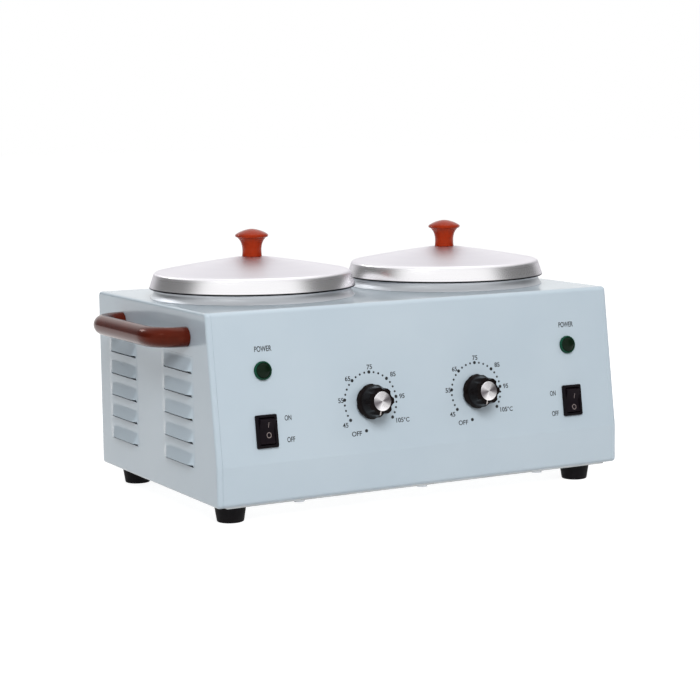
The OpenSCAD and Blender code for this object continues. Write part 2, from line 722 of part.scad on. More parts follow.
module bracket_screws() {
    color(zinc) for (p = bracket_places) translate([p[0], p[1], foot_h]) {
        rod(m4_r, 0, plate_screw_l);
        rod(m4_head_r, -m4_head_h, 0);
    }
}

// Lift-out wax pot: a deep cup that hangs on the collar by its shoulder
module pot(s) {
    pin_r = bail_d / 2 + run_fit;
    r_in = pot_round - pot_t;
    section = concat(
        [[0, pot_bottom_z]],
        arc_pts([pot_ro - pot_round, pot_bottom_z + pot_round], pot_round, -90, 0),
        [[pot_ro, shoulder_z], [shoulder_r - 0.4, shoulder_z], [shoulder_r, shoulder_z + 0.4],
         [shoulder_r, shoulder_z + shoulder_t - 0.4], [shoulder_r - 0.4, shoulder_z + shoulder_t],
         [pot_ro, shoulder_z + shoulder_t], [pot_ro, bead_top_z - bead_h]],
        arc_pts([bead_ro - 0.8, bead_top_z - bead_h + 0.8], 0.8, -90, 0, 4),
        arc_pts([bead_ro - 0.8, bead_top_z - 0.8], 0.8, 0, 90, 4),
        arc_pts([pot_ri + 0.5, bead_top_z - 0.5], 0.5, 90, 180, 3),
        arc_pts([pot_ri - r_in, pot_bottom_z + pot_t + r_in], r_in, 0, -90),
        [[0, pot_bottom_z + pot_t]]);
    color(aluminium) at_well(s) difference() {
        rotate_extrude($fn = 128) polygon(section);
        translate([0, 0, bail_z]) rotate([0, 90, 0]) rod(pin_r, -bead_ro - cut, bead_ro + cut);
    }
}
module left_pot() { pot(-1); }
module right_pot() { pot(1); }

// Wire bail folded back round the pot's neck; its ends turn in through the neck's two holes
module bail(s) {
    tip_r = pot_ri - 1.8;
    bend = bail_d / 2 + 0.7;
    bend_x = sqrt(pow(bail_r - bend, 2) - bend * bend);
    lead_in = atan(bend / bend_x);
    half = concat([[bend_x - 1, 0]], arc_pts([bend_x, bend], bend, -90, lead_in),
        arc_pts([0, 0], bail_r, lead_in + 3, 90, 24));
    path = concat(half, [for (i = [len(half) - 2 : -1 : 0]) [-half[i][0], half[i][1]]]);
    color(zinc) at_well(s) translate([0, 0, bail_z]) {
        tube([for (p = path) [p[0], p[1], 0]], bail_d / 2 - eps, 16, [0, 0, 1]);
        for (e = [-1, 1]) rotate([0, e * 90, 0]) {
            rod(bail_d / 2, tip_r, bend_x);
            rod(bail_d / 2 + 0.7, tip_r - 0.6, tip_r + 0.4);
        }
    }
}
module left_pot_bail() { bail(-1); }
module right_pot_bail() { bail(1); }

// Spun lid: shallow cone, rounded shoulder and a skirt that flares a little
module lid(s) {
    sr = lid_shoulder_r;
    q = lid_round;
    qi = q - lid_t;
    slope_a = atan(dome_slope);
    c = [sr - q, lid_shoulder_z - q];
    section = concat(
        [[lid_hole_r, lid_top_z - lid_t], [lid_pad_r - 1, lid_top_z - lid_t]],
        arc_pts(c, qi, 90 - slope_a, 12, 5),
        [[lid_edge_r - lid_t - 0.2, lid_edge_z + 0.6], [lid_edge_r - 0.8, lid_edge_z],
         [lid_edge_r - 0.2, lid_edge_z + 0.1], [lid_edge_r, lid_edge_z + 0.6]],
        arc_pts(c, q, 12, 90 - slope_a, 8),
        [[lid_pad_r, lid_top_z], [lid_hole_r, lid_top_z]]);
    color(aluminium) at_well(s) rotate_extrude($fn = 128) polygon(section);
}
module left_lid() { lid(-1); }
module right_lid() { lid(1); }

// Turned lid knob: waisted neck, ridge under the rim and a domed top
module lid_knob(s) {
    h = lid_knob_h;
    rn = lid_knob_neck / 2;
    rr = lid_knob_d / 2;
    bore_l = 11;
    section = [[0, 0], [rn, 0], [rn - 0.2, 1.5], [rn - 0.3, h * 0.28], [rn + 0.1, h * 0.42],
        [rn + 0.8, h * 0.54], [rn + 1.8, h * 0.62], [rn + 2.6, h * 0.66], [rr - 1.7, h * 0.69],
        [rr - 0.5, h * 0.73], [rr, h * 0.77], [rr - 0.2, h * 0.81], [rr - 1.2, h * 0.85],
        [rr - 3, h * 0.91], [rr - 5.5, h * 0.96], [rr - 8.4, h * 0.99], [0, h]];
    color(bakelite_red) at_well(s) translate([0, 0, lid_top_z]) difference() {
        rotate_extrude() polygon(section);
        rod(m4_r + screw_fit, -cut, bore_l);
    }
}
module left_lid_knob() { lid_knob(-1); }
module right_lid_knob() { lid_knob(1); }

module lid_screw(s) {
    color(zinc) at_well(s) translate([0, 0, lid_top_z]) {
        rod(m4_r, -lid_t, 10);
        rod(m4_head_r, -lid_t - 1.6, -lid_t);
    }
}
module left_lid_screw() { lid_screw(-1); }
module right_lid_screw() { lid_screw(1); }

// Capillary thermostat: moulded body, threaded bushing through the front, blade terminals
module thermostat(s) {
    z_back = -sheet_t - thermostat_d;
    color(black) on_front(s * dial_x, dial_v) {
        difference() {
            union() {
                box_xy(thermostat_w, thermostat_h, z_back, -sheet_t);
                rod(bushing_r, -sheet_t, bushing_out);
            }
            rod(shaft_r + run_fit, -sheet_t - shaft_tail - 1, bushing_out + cut);
        }
        for (e = [-1, 1]) translate([e * thermostat_tab_x, -thermostat_tab_v, 0])
            box_xy(tab_w, tab_t, z_back - tab_l, z_back);
    }
}
module left_thermostat() { thermostat(-1); }
module right_thermostat() { thermostat(1); }

module thermostat_shaft(s) {
    color(zinc) on_front(s * dial_x, dial_v) rod(shaft_r, -sheet_t - shaft_tail, dial_h - dial_cap_t - 2.6);
}
module left_thermostat_shaft() { thermostat_shaft(-1); }
module right_thermostat_shaft() { thermostat_shaft(1); }

module thermostat_nuts() {
    color(brass) for (s = [-1, 1]) on_front(s * dial_x, dial_v) difference() {
        hex(bushing_r + 2.6, 0, bushing_nut_h);
        rod(bushing_r + screw_fit, -cut, bushing_nut_h + cut);
    }
}

// Dial knob: round skirt, conical grip with lobes that fade towards the skirt, hollow for the nut
module dial_knob(s) {
    rs = dial_skirt_d / 2;
    rg = dial_grip_d / 2;
    front = dial_h - dial_cap_t;
    flute_r = 3;
    flute_lean = 15;
    section = [[0, panel_clear], [rs - 0.4, panel_clear], [rs, panel_clear + 0.4], [rs, dial_skirt_t - 0.6],
        [rs - 0.5, dial_skirt_t], [rs - 1.4, dial_skirt_t + 0.4], [rs - 1.8, dial_skirt_t + 1.6],
        [rg + 0.3, front - 1], [rg - 0.4, front], [0, front]];
    color(black) on_front(s * dial_x, dial_v) difference() {
        rotate_extrude() polygon(section);
        rod(dial_recess_r, 0, dial_recess_h);
        rod(shaft_r + screw_fit, 0, front - 2);
        for (i = [0 : dial_lobes - 1]) rotate([0, 0, (i + 0.5) * 360 / dial_lobes - 90 - dial_off_angle])
            translate([rg + flute_r - 1.3, 0, front]) rotate([0, -flute_lean, 0]) rod(flute_r, -front, 4);
    }
}
module left_dial_knob() { dial_knob(-1); }
module right_dial_knob() { dial_knob(1); }

module dial_cap(s) {
    color(aluminium) on_front(s * dial_x, dial_v) rod(dial_cap_d / 2, dial_h - dial_cap_t, dial_h);
}
module left_dial_cap() { dial_cap(-1); }
module right_dial_cap() { dial_cap(1); }

// Indicator lamp: coloured lens over the front and its holder behind
module lamp_lens(s) {
    r = lamp_d / 2;
    section = concat(
        [[0, 0], [r, 0], [r, lamp_flange_t * 0.6], [r - 0.4, lamp_flange_t], [r - 1, lamp_flange_t]],
        [for (i = [1 : 6]) [(r - 1) * cos(i * 15), lamp_flange_t + lamp_dome_h * sin(i * 15)]]);
    color(lamp_green) on_front(s * lamp_x, lamp_v) rotate_extrude() polygon(section);
}
module left_lamp_lens() { lamp_lens(-1); }
module right_lamp_lens() { lamp_lens(1); }

module lamp_holder(s) {
    nut_h = 3;
    color(black) on_front(s * lamp_x, lamp_v) {
        rod(lamp_body_r, -lamp_body_l, 0);
        rod(lamp_body_r + 2.2, -sheet_t - nut_h, -sheet_t);
    }
}
module left_lamp_holder() { lamp_holder(-1); }
module right_lamp_holder() { lamp_holder(1); }

// Switch housing with its bezel on the front and a hollow in which the rocker swings
module switch_frame(s) {
    gap_w = rocker_w / 2 + rocker_gap;
    gap_h = rocker_r + rocker_gap;
    pivot_z = bezel_t - rocker_depth;
    z_back = -switch_body_d;
    color(black) on_front(s * switch_x, switch_v) {
        difference() {
            union() {
                box_xy(switch_w, switch_h, 0, bezel_t / 2);
                box_xy(switch_w - 0.8, switch_h - 0.8, bezel_t / 2, bezel_t);
                box_xy(switch_body_w, switch_body_h, z_back, 0);
            }
            box_xy(2 * gap_w, 2 * gap_h, pivot_z - rocker_r * 0.6, bezel_t + cut);
            translate([0, 0, pivot_z]) rotate([0, 90, 0])
                rod(rocker_pin_r + run_fit, -gap_w - rocker_pin_l, gap_w + rocker_pin_l);
        }
        for (y = [-5, 0, 5]) translate([0, y, 0]) box_xy(tab_w, tab_t, z_back - tab_l, z_back);
    }
}
module left_switch_frame() { switch_frame(-1); }
module right_switch_frame() { switch_frame(1); }

// Rocker at rest in its off position, lower half pressed in
module rocker(s) {
    w = rocker_w;
    r = rocker_r;
    tip_a = 26;
    dip = 1.6;
    tip = [r * cos(tip_a), r * sin(tip_a)];
    back = -2.2;
    color(black) on_front(s * switch_x, switch_v) translate([0, 0, bezel_t - rocker_depth])
        rotate([rocker_tilt / 2, 0, 0]) {
            intersection() {
                rotate([0, 90, 0]) rod(r, -w / 2, w / 2);
                translate([-w / 2, 0, 0]) rotate([90, 0, 90]) linear_extrude(w)
                    polygon([[-r, back], [r, back], [r, 0], tip + [1, 0], tip, [0, tip[1] - dip],
                        [-tip[0], tip[1]], [-tip[0] - 1, tip[1]], [-r, 0]]);
            }
            rotate([0, 90, 0]) rod(rocker_pin_r, -w / 2 - rocker_pin_l, w / 2 + rocker_pin_l);
        }
}
module left_rocker() { rocker(-1); }
module right_rocker() { rocker(1); }

// Mains inlet in the back: flange, body and the deep socket for a lead's connector
module power_inlet() {
    w = inlet_socket_w / 2;
    h = inlet_socket_h / 2;
    color(black) on_back(0, housing_z + inlet_z) difference() {
        union() {
            box_xy(inlet_flange_w, inlet_flange_h, 0, inlet_flange_t);
            box_xy(inlet_cut_w, inlet_cut_h, -inlet_depth, 0);
        }
        translate([0, 0, inlet_flange_t - inlet_socket_d]) linear_extrude(inlet_socket_d + cut)
            polygon([[-w, -h], [w, -h], [w, h - inlet_corner], [w - inlet_corner, h],
                [-w + inlet_corner, h], [-w, h - inlet_corner]]);
        for (e = [-1, 1]) translate([e * inlet_screw_pitch / 2, 0, 0]) {
            rod(m3_r + screw_fit, -cut, inlet_flange_t + cut);
            translate([0, 0, inlet_flange_t - m3_head_h - screw_fit])
                cylinder(r1 = m3_r + screw_fit, r2 = m3_head_r + screw_fit, h = m3_head_h + 2 * screw_fit);
        }
        for (p = inlet_pin_places) translate([p[0], p[1], 0]) box_xy(pin_w, pin_t, -inlet_depth - cut, 0);
    }
}

// The inlet's three flat pins, with their tabs inside the housing
module inlet_pins() {
    color(brass) on_back(0, housing_z + inlet_z) for (p = inlet_pin_places)
        translate([p[0], p[1], 0]) box_xy(pin_w - 0.1, pin_t - 0.1, -inlet_depth - tab_l, -1);
}

module inlet_screws() {
    color(zinc) for (e = [-1, 1]) on_back(e * inlet_screw_pitch / 2, housing_z + inlet_z) {
        rod(m3_r, -inlet_screw_l, inlet_flange_t - m3_head_h);
        translate([0, 0, inlet_flange_t - m3_head_h]) cylinder(r1 = m3_r, r2 = m3_head_r, h = m3_head_h);
        difference() {
            hex(m3_r * nut_grow, -sheet_t - inlet_nut_h, -sheet_t);
            rod(m3_r - eps, -sheet_t - inlet_nut_h - cut, -sheet_t + cut);
        }
    }
}

// Terminal block on the base plate
module terminal_block() {
    color(cream) translate([0, front_y + block_y, housing_z]) difference() {
        box_xy(block_w, block_l, 0, block_h);
        for (i = [0 : block_poles - 1]) translate([block_x(i), 0, 0]) {
            for (e = [-1, 1]) translate([0, e * block_l / 4, 0]) rod(2.2, block_bore_z, block_h + cut);
            translate([0, 0, block_bore_z]) rotate([90, 0, 0])
                rod(1.9, -block_l / 2 - cut, block_l / 2 + cut);
        }
    }
}

module terminal_screws() {
    color(brass) translate([0, front_y + block_y, housing_z])
        for (i = [0 : block_poles - 1]) for (e = [-1, 1]) translate([block_x(i), e * block_l / 4, 0])
            rod(2.2 - screw_fit, block_bore_z + 2, block_h - 1.5);
}

// Copper sensor tube and its bulb, which lies against the well's wall
module sensor(s) {
    a = -90 + s * -(90 - bulb_turn);
    lie_r = well_ro + bulb_r + 0.1;
    bulb = [side_x(s) + lie_r * cos(a), front_y + well_y + lie_r * sin(a)];
    start = front_pt(s * dial_x, dial_v - 14, -sheet_t - thermostat_d - 0.1);
    color(brass) {
        translate([bulb[0], bulb[1], bulb_z]) {
            rod(bulb_r, 0, bulb_l);
            translate([0, 0, -3]) cylinder(r1 = 1.2, r2 = bulb_r, h = 3);
        }
        tube(spline([start, start + 5 * inward, [bulb[0], bulb[1] - 9, bulb_z - 18],
            [bulb[0], bulb[1] - 2, bulb_z - 13], [bulb[0], bulb[1], bulb_z - 2.9]], 4), 1, 6);
    }
}
module left_sensor() { sensor(-1); }
module right_sensor() { sensor(1); }

// Wire through the given points, with a sleeve at each end that meets a terminal
module wire(p, first = true, last = true) {
    n = len(p) - 1;
    tube(spline(p, 4), wire_r);
    if (first) tube([p[0], p[1]], sleeve_r);
    if (last) tube([p[n - 1], p[n]], sleeve_r);
}

module wiring() {
    gap = 0.2;
    d = inward;
    y0 = front_y;
    z0 = housing_z;
    ring_z = z0 + sheet_t;
    color(wire_red) {
        for (s = [-1, 1]) {
            sw = [for (k = [-1 : 1]) switch_tab(s, k) + d * gap];
            th = [for (e = [-1, 1]) thermostat_tab(s, e * s) + d * gap];
            ht = [for (e = [-1, 1]) heater_tab(s, e) - [0, 0, gap]];
            live = block_port(s < 0 ? 1 : 4, -1);
            neutral = block_port(s < 0 ? 0 : 5, -1);
            wire([live, live - [0, 10, 0], [s * 16, y0 + 95, z0 + 8], [s * 40, y0 + 42, z0 + 10],
                [s * 90, y0 + 33, z0 + 16], [s * 112, y0 + 42, z0 + 28],
                sw[0] + d * sleeve_l, sw[0]], first = false);
            wire([neutral, neutral - [0, 10, 0], [s * 36, y0 + 118, z0 + 10],
                ht[1] - [0, 0, sleeve_l], ht[1]], first = false);
            wire([sw[1], sw[1] + d * sleeve_l, [s * 110, y0 + 40, z0 + 36], [s * 80, y0 + 32, z0 + 26],
                [s * 56, y0 + 38, z0 + 32], th[1] + d * sleeve_l, th[1]]);
            wire([th[0], th[0] + d * sleeve_l, [s * 34, y0 + 50, z0 + 28], [s * 42, y0 + 84, z0 + 20],
                ht[0] - [0, 0, sleeve_l], ht[0]]);
            lamp = [for (e = [-1, 1]) front_pt(s * (lamp_x + e * 2), lamp_v, -lamp_body_l - gap)];
            wire([lamp[1], lamp[1] + d * 5, [s * (switch_x + 2), y0 + 39, z0 + 60],
                sw[2] + d * sleeve_l, sw[2]], first = false);
            wire([lamp[0], lamp[0] + d * 4, [s * 104, y0 + 36, z0 + 72], [s * 76, y0 + 30, z0 + 58],
                [s * 60, y0 + 33, z0 + 56], th[1] + d * sleeve_l], first = false, last = false);
        }
        for (i = [0 : 2]) {
            place = inlet_pin_places[i];
            pin = [-place[0], back_y - inlet_depth - tab_l - gap, z0 + inlet_z + place[1]];
            port = block_port(pin[0] < 0 ? 1 : pin[0] > 0 ? 4 : 2, 1);
            wire([pin, pin - [0, sleeve_l, 0], [(pin[0] + port[0]) / 2, port[1] + 17, z0 + 20],
                port + [0, 10, 2], port + [0, 6, 0], port], last = false);
        }
        earth = block_port(2, -1);
        ring = [base_screw_places[2][0], base_screw_places[2][1]];
        wire([earth, earth - [0, 10, 0], [-6, y0 + 90, z0 + 5], [0, y0 + 40, z0 + 5],
            [ring[0], ring[1] + 12, ring_z + 3.4], [ring[0], ring[1] + 3.6, ring_z + 2.4]], first = false);
        translate([ring[0], ring[1], ring_z]) difference() {
            rod(4.2, 0, 1);
            rod(m4_r + screw_fit, -cut, 1 + cut);
        }
    }
}

base_plate();
housing_cover();
left_side_panel();
right_side_panel();
panel_screws();
left_handle();
right_handle();
handle_screws();
front_left_foot();
front_right_foot();
rear_left_foot();
rear_right_foot();
foot_screws();
foot_nuts();
base_screws();
left_well();
right_well();
left_heater();
right_heater();
left_well_bracket();
right_well_bracket();
stud_nuts();
bracket_screws();
left_pot();
right_pot();
left_pot_bail();
right_pot_bail();
left_lid();
right_lid();
left_lid_knob();
right_lid_knob();
left_lid_screw();
right_lid_screw();
left_thermostat();
right_thermostat();
left_thermostat_shaft();
right_thermostat_shaft();
thermostat_nuts();
left_sensor();
right_sensor();
left_dial_knob();
right_dial_knob();
left_dial_cap();
right_dial_cap();
left_lamp_lens();
right_lamp_lens();
left_lamp_holder();
right_lamp_holder();
left_switch_frame();
right_switch_frame();
left_rocker();
right_rocker();
power_inlet();
inlet_pins();
inlet_screws();
terminal_block();
terminal_screws();
wiring();
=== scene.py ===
import json
import math

import bmesh
import bpy
from mathutils import Matrix, Vector
from mathutils.geometry import delaunay_2d_cdt


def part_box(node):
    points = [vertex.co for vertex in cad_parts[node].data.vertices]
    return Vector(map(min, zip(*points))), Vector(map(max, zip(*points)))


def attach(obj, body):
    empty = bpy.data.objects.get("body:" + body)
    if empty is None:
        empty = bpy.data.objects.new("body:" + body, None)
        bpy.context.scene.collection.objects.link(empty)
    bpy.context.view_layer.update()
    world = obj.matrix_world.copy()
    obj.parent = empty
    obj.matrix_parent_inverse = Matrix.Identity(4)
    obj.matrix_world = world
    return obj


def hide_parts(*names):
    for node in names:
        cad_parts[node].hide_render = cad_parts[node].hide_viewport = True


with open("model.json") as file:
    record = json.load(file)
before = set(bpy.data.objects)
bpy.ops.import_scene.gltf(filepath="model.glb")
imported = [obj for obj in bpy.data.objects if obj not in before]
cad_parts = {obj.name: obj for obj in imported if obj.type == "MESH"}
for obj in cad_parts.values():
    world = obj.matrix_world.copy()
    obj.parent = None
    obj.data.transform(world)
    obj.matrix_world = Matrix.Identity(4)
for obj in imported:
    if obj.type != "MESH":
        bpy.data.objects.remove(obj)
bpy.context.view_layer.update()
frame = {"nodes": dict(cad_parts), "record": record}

# Double wax warmer. Lengths below are in millimetres; mm turns them into metres.
mm = 0.001
sides = (("left", -1), ("right", 1))

housing = {
    "width": 304.0,
    "depth": 192.0,
    "height": 121.0,
    "lip": 25.5,  # upright strip below the sloping front
    "tilt": 8.0,
    "front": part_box("housing_cover")[0][1] / mm,
    "bottom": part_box("housing_cover")[0][2] / mm,
    "sheet": 1.0,
    "flange": 13.0,  # strips of the cover folded under the base
    "coverEnd": 148.25,  # half the cover's length
    "topBend": 3.2,
    "lowBend": 2.8,
    "sideBend": 1.8,
    "sideLand": 1.9,  # flat strip of a side panel's edge beside its bend
    "sideFlange": 10.0,  # how deep a side panel reaches into the cover
    "wellX": 76.0,
    "wellY": 102.0,
}
frontY = housing["front"]
bottomZ = housing["bottom"]
deckZ = bottomZ + housing["height"]
backY = frontY + housing["depth"]
wellY = frontY + housing["wellY"]
tilt = math.radians(housing["tilt"])


# Colour and nodes

def srgb(code):
    channels = [int(code[i:i + 2], 16) / 255 for i in (1, 3, 5)]
    return tuple(c / 12.92 if c <= 0.04045 else ((c + 0.055) / 1.055) ** 2.4 for c in channels) + (1.0,)


def connect(tree, node, inputs):
    # A value may be a number, a colour, a socket, or a node, which stands for its first output
    for key, value in inputs.items():
        if isinstance(value, bpy.types.Node):
            value = value.outputs[0]
        if isinstance(value, bpy.types.NodeSocket):
            tree.links.new(value, node.inputs[key])
        else:
            node.inputs[key].default_value = value


def addNode(tree, kind, inputs=None, **settings):
    node = tree.nodes.new("ShaderNode" + kind)
    for key, value in settings.items():
        setattr(node, key, value)
    connect(tree, node, inputs or {})
    return node


def emptyTree(owner):
    owner.use_nodes = True
    owner.node_tree.nodes.clear()
    return owner.node_tree


def startMaterial(name, sockets):
    material = bpy.data.materials.new(name)
    tree = emptyTree(material)
    shader = addNode(tree, "BsdfPrincipled", sockets)
    addNode(tree, "OutputMaterial", {"Surface": shader})
    return material, tree, shader, addNode(tree, "TexCoord").outputs["Object"]


def mottle(tree, place, size, low, high, detail=2.0, roughness=0.5):
    # Soft blotches as values from low to high, and the plain noise; size is the width of one in millimetres
    noise = addNode(tree, "TexNoise", {"Vector": place, "Scale": 1 / (size * mm), "Detail": detail,
                                       "Roughness": roughness})
    value = addNode(tree, "MapRange", {"Value": noise, "From Min": 0.3, "From Max": 0.7, "To Min": low,
                                       "To Max": high})
    return value, noise


def paint(tree, shader, tone, first, second, rough, height=None, depth=0.0):
    # Colour between two tones, roughness, and relief of so many millimetres
    colour = addNode(tree, "Mix", {0: tone, 6: srgb(first), 7: srgb(second)}, data_type="RGBA").outputs[2]
    connect(tree, shader, {"Base Color": colour, "Roughness": rough})
    if height is not None:
        connect(tree, shader, {"Normal": addNode(tree, "Bump", {"Height": height, "Distance": depth * mm})})


def fromAxis(tree, place):
    # Distance from the piece's own axis, and its X, Y and Z
    split = addNode(tree, "SeparateXYZ", {"Vector": place}).outputs
    level = addNode(tree, "CombineXYZ", {"X": split[0], "Y": split[1]})
    return addNode(tree, "VectorMath", {0: level}, operation="LENGTH").outputs["Value"], split


print("materials")


def powderCoatedSteel():
    # Sheet steel with a baked satin powder coat: soft broad highlights and a fine orange peel
    look = {"colour": "#becdd8", "pale": "#c3d1db", "peel": 1.1, "peelDepth": 0.012, "cloud": 60.0}
    material, tree, shader, place = startMaterial("powderCoatedSteel", {
        "Roughness": 0.36, "IOR": 1.5, "Specular IOR Level": 0.3, "Coat Weight": 0.7, "Coat Roughness": 0.1})
    cloud = mottle(tree, place, look["cloud"], 0.0, 1.0, 3.0)[0]
    rough, peel = mottle(tree, place, look["peel"], 0.33, 0.41)
    paint(tree, shader, cloud, look["colour"], look["pale"], rough, peel, look["peelDepth"])
    return material


def spunAluminium(name, look):
    # Bare aluminium spun on a lathe: fine rings round the axis that draw the light into bright and dark fans
    material, tree, shader, place = startMaterial(name, {
        "Metallic": 1.0, "Roughness": look["roughness"], "Anisotropic": look["stretch"],
        "Specular Tint": srgb(look.get("glance", "#ffffff"))})
    radius, split = fromAxis(tree, place)
    ringPlace = addNode(tree, "CombineXYZ", {"X": radius, "Z": split[2]})
    streak = look.get("streak", 0.05)
    low, high = look["roughness"] - streak, look["roughness"] + streak
    rough, rings = mottle(tree, ringPlace, look["ring"], low, high, 4.0, 0.65)
    broad = mottle(tree, ringPlace, look["band"], 0.0, 0.6)[0]
    blotch = mottle(tree, place, look["blotch"], 0.0, 0.4, 3.0)[0]
    tone = addNode(tree, "Math", {0: broad, 1: blotch}, operation="ADD")
    layers = [(tone, srgb(look["pale"]))]
    if "darkReflection" in look:  # on a faced end, two dark sectors of the turned metal's reflection are painted into the colour
        angle = addNode(tree, "Math", {0: split[1], 1: split[0]}, operation="ARCTAN2")
        twice = addNode(tree, "Math", {0: angle, 1: 2.0, 2: look["darkReflectionTurn"]}, operation="MULTIPLY_ADD")
        wave = addNode(tree, "Math", {0: twice}, operation="COSINE")
        reflectionSector = addNode(tree, "MapRange", {"Value": wave, "From Min": -0.2, "From Max": 1.0})
        layers.append((reflectionSector, srgb(look["darkReflection"])))
    if "polished" in look:  # from this radius outwards the sheet is polished, and the bottom of its rolled edge is painted near-black as the shade in the gap under the skirt
        outer = addNode(tree, "MapRange", {"Value": radius, "From Min": (look["polished"] - 1.5) * mm,
                                           "From Max": look["polished"] * mm})
        finer = addNode(tree, "Math", {0: outer, 1: look["smoother"]}, operation="MULTIPLY")
        rough = addNode(tree, "Math", {0: rough, 1: finer}, operation="SUBTRACT")
        edge = addNode(tree, "MapRange", {"Value": split[2], "From Min": (look["shadedBelow"] + 0.4) * mm,
                                          "From Max": look["shadedBelow"] * mm})
        layers += [(outer, srgb(look["bright"])), (edge, srgb(look["stainAndShade"]))]
    colour = srgb(look["colour"])
    for cover, tint in layers:
        colour = addNode(tree, "Mix", {0: cover, 6: colour, 7: tint}, data_type="RGBA").outputs[2]
    connect(tree, shader, {
        "Base Color": colour, "Roughness": rough,
        "Normal": addNode(tree, "Bump", {"Height": rings, "Distance": look["depth"] * mm}),
        "Tangent": addNode(tree, "Tangent", direction_type="RADIAL", axis="Z")})
    return material


def phenolicResin(name, look):
    # Moulded phenolic, polished: deep red-brown with a faint flow in it, and a gloss that glows orange
    pattern = {"flow": 14.0, "speck": 0.7, "wave": 3.5, "waveDepth": 0.02}
    material, tree, shader, place = startMaterial(name, {
        "Roughness": 0.26, "IOR": 1.6, "Specular IOR Level": 0.2, "Specular Tint": srgb(look["glow"]),
        "Coat Weight": look["coat"], "Coat Roughness": 0.14})
    flow = mottle(tree, place, pattern["flow"], 0.0, 0.75, 4.0, 0.6)[0]
    rough = mottle(tree, place, pattern["speck"], 0.17, 0.24)[0]
    wave = addNode(tree, "TexNoise", {"Vector": place, "Scale": 1 / (pattern["wave"] * mm), "Detail": 2.0})
    paint(tree, shader, flow, look["colour"], look["dark"], rough, wave, pattern["waveDepth"])
    return material


def mouldedPlastic(name, look):
    # Injection-moulded plastic: even colour, a fine spark-eroded grain and slightly softer gloss in patches
    low, patch = look["roughness"], 6.0
    material, tree, shader, place = startMaterial(name, {
        "Roughness": low, "IOR": look.get("ior", 1.52), "Specular IOR Level": look.get("gloss", 0.5)})
    wide = mottle(tree, place, patch, 0.0, 1.0, 3.0)[0]
    rough, grain = mottle(tree, place, look["grain"], low - 0.04, low + 0.05)
    paint(tree, shader, wide, look["colour"], look["pale"], rough, grain, look["depth"])
    return material


def wroughtMetal(name, look):
    # Rolled, drawn or plated metal: faint drawn lines and soft stains
    low, line, lineDepth = look["roughness"], 2.5, 0.006
    material, tree, shader, place = startMaterial(name, {"Metallic": 1.0, "Roughness": low})
    stainAndShade = mottle(tree, place, look["stainAndShade"], 0.0, 1.0, 4.0, 0.6)[0]
    drawn = addNode(tree, "Mapping", {"Vector": place, "Scale": (1.0, 12.0, 12.0)})
    rough, lines = mottle(tree, drawn, line, low - 0.06, low + 0.08, 3.0)
    paint(tree, shader, stainAndShade, look["colour"], look["pale"], rough, lines, lineDepth)
    return material


def galvanisedSteel():
    # Hot-dip galvanised sheet: grey spangle crystals of a few millimetres
    look = {"dark": "#9da1a3", "pale": "#b9bdbf", "spangle": 7.0, "ripple": 1.2, "rippleDepth": 0.01}
    material, tree, shader, place = startMaterial("galvanisedSteel", {"Metallic": 1.0, "Roughness": 0.42})
    cells = addNode(tree, "TexVoronoi", {"Vector": place, "Scale": 1 / (look["spangle"] * mm)})
    crystal = addNode(tree, "SeparateColor", {"Color": cells.outputs["Color"]})
    rough = addNode(tree, "MapRange", {"Value": crystal, "To Min": 0.34, "To Max": 0.5})
    ripple = addNode(tree, "TexNoise", {"Vector": place, "Scale": 1 / (look["ripple"] * mm), "Detail": 3.0})
    paint(tree, shader, crystal, look["dark"], look["pale"], rough, ripple, look["rippleDepth"])
    return material


def footRubber():
    # Moulded EPDM rubber: dull black with a dusty bloom
    look = {"colour": "#100e10", "dusty": "#1d1b1d", "bloom": 5.0, "grain": 0.4, "grainDepth": 0.03}
    material, tree, shader, place = startMaterial("mouldedRubber", {
        "Roughness": 0.62, "IOR": 1.5, "Specular IOR Level": 0.1})
    bloom = mottle(tree, place, look["bloom"], 0.0, 0.8, 5.0, 0.65)[0]
    rough, grain = mottle(tree, place, look["grain"], 0.56, 0.7)
    paint(tree, shader, bloom, look["colour"], look["dusty"], rough, grain, look["grainDepth"])
    return material


def pressedMica():
    # Mica board pressed from flakes: mottled tan with tiny bright scales
    look = {"dark": "#8c7a5e", "pale": "#b5a587", "flake": 2.2, "flakeDepth": 0.03}
    material, tree, shader, place = startMaterial("pressedMica", {"Roughness": 0.5, "IOR": 1.58})
    flakes = addNode(tree, "TexVoronoi", {"Vector": place, "Scale": 1 / (look["flake"] * mm)}).outputs
    tone = addNode(tree, "SeparateColor", {"Color": flakes["Color"]}).outputs[1]
    rough = addNode(tree, "MapRange", {"Value": tone, "To Min": 0.3, "To Max": 0.65})
    paint(tree, shader, tone, look["dark"], look["pale"], rough, flakes["Distance"], look["flakeDepth"])
    return material


def greenLens():
    # Moulded green polycarbonate over a dark lamp: nearly black green, wet gloss
    look = {"colour": "#0a1c0e", "edge": "#124c38", "from": 4.6, "to": 5.8, "facet": 1.1, "deep": 0.05}
    material, tree, shader, place = startMaterial("mouldedPolycarbonate", {
        "Roughness": 0.18, "IOR": 1.58, "Specular IOR Level": 0.08, "Coat Weight": 0.02,
        "Coat Roughness": 0.06})
    radius = fromAxis(tree, place)[0]
    rim = addNode(tree, "MapRange", {
        "Value": radius, "From Min": look["from"] * mm, "From Max": look["to"] * mm})
    facets = addNode(tree, "TexVoronoi", {"Vector": place, "Scale": 1 / (look["facet"] * mm)})
    rough = mottle(tree, place, 0.6, 0.13, 0.2)[0]
    paint(tree, shader, rim, look["colour"], look["edge"], rough, facets.outputs["Distance"], look["deep"])
    return material


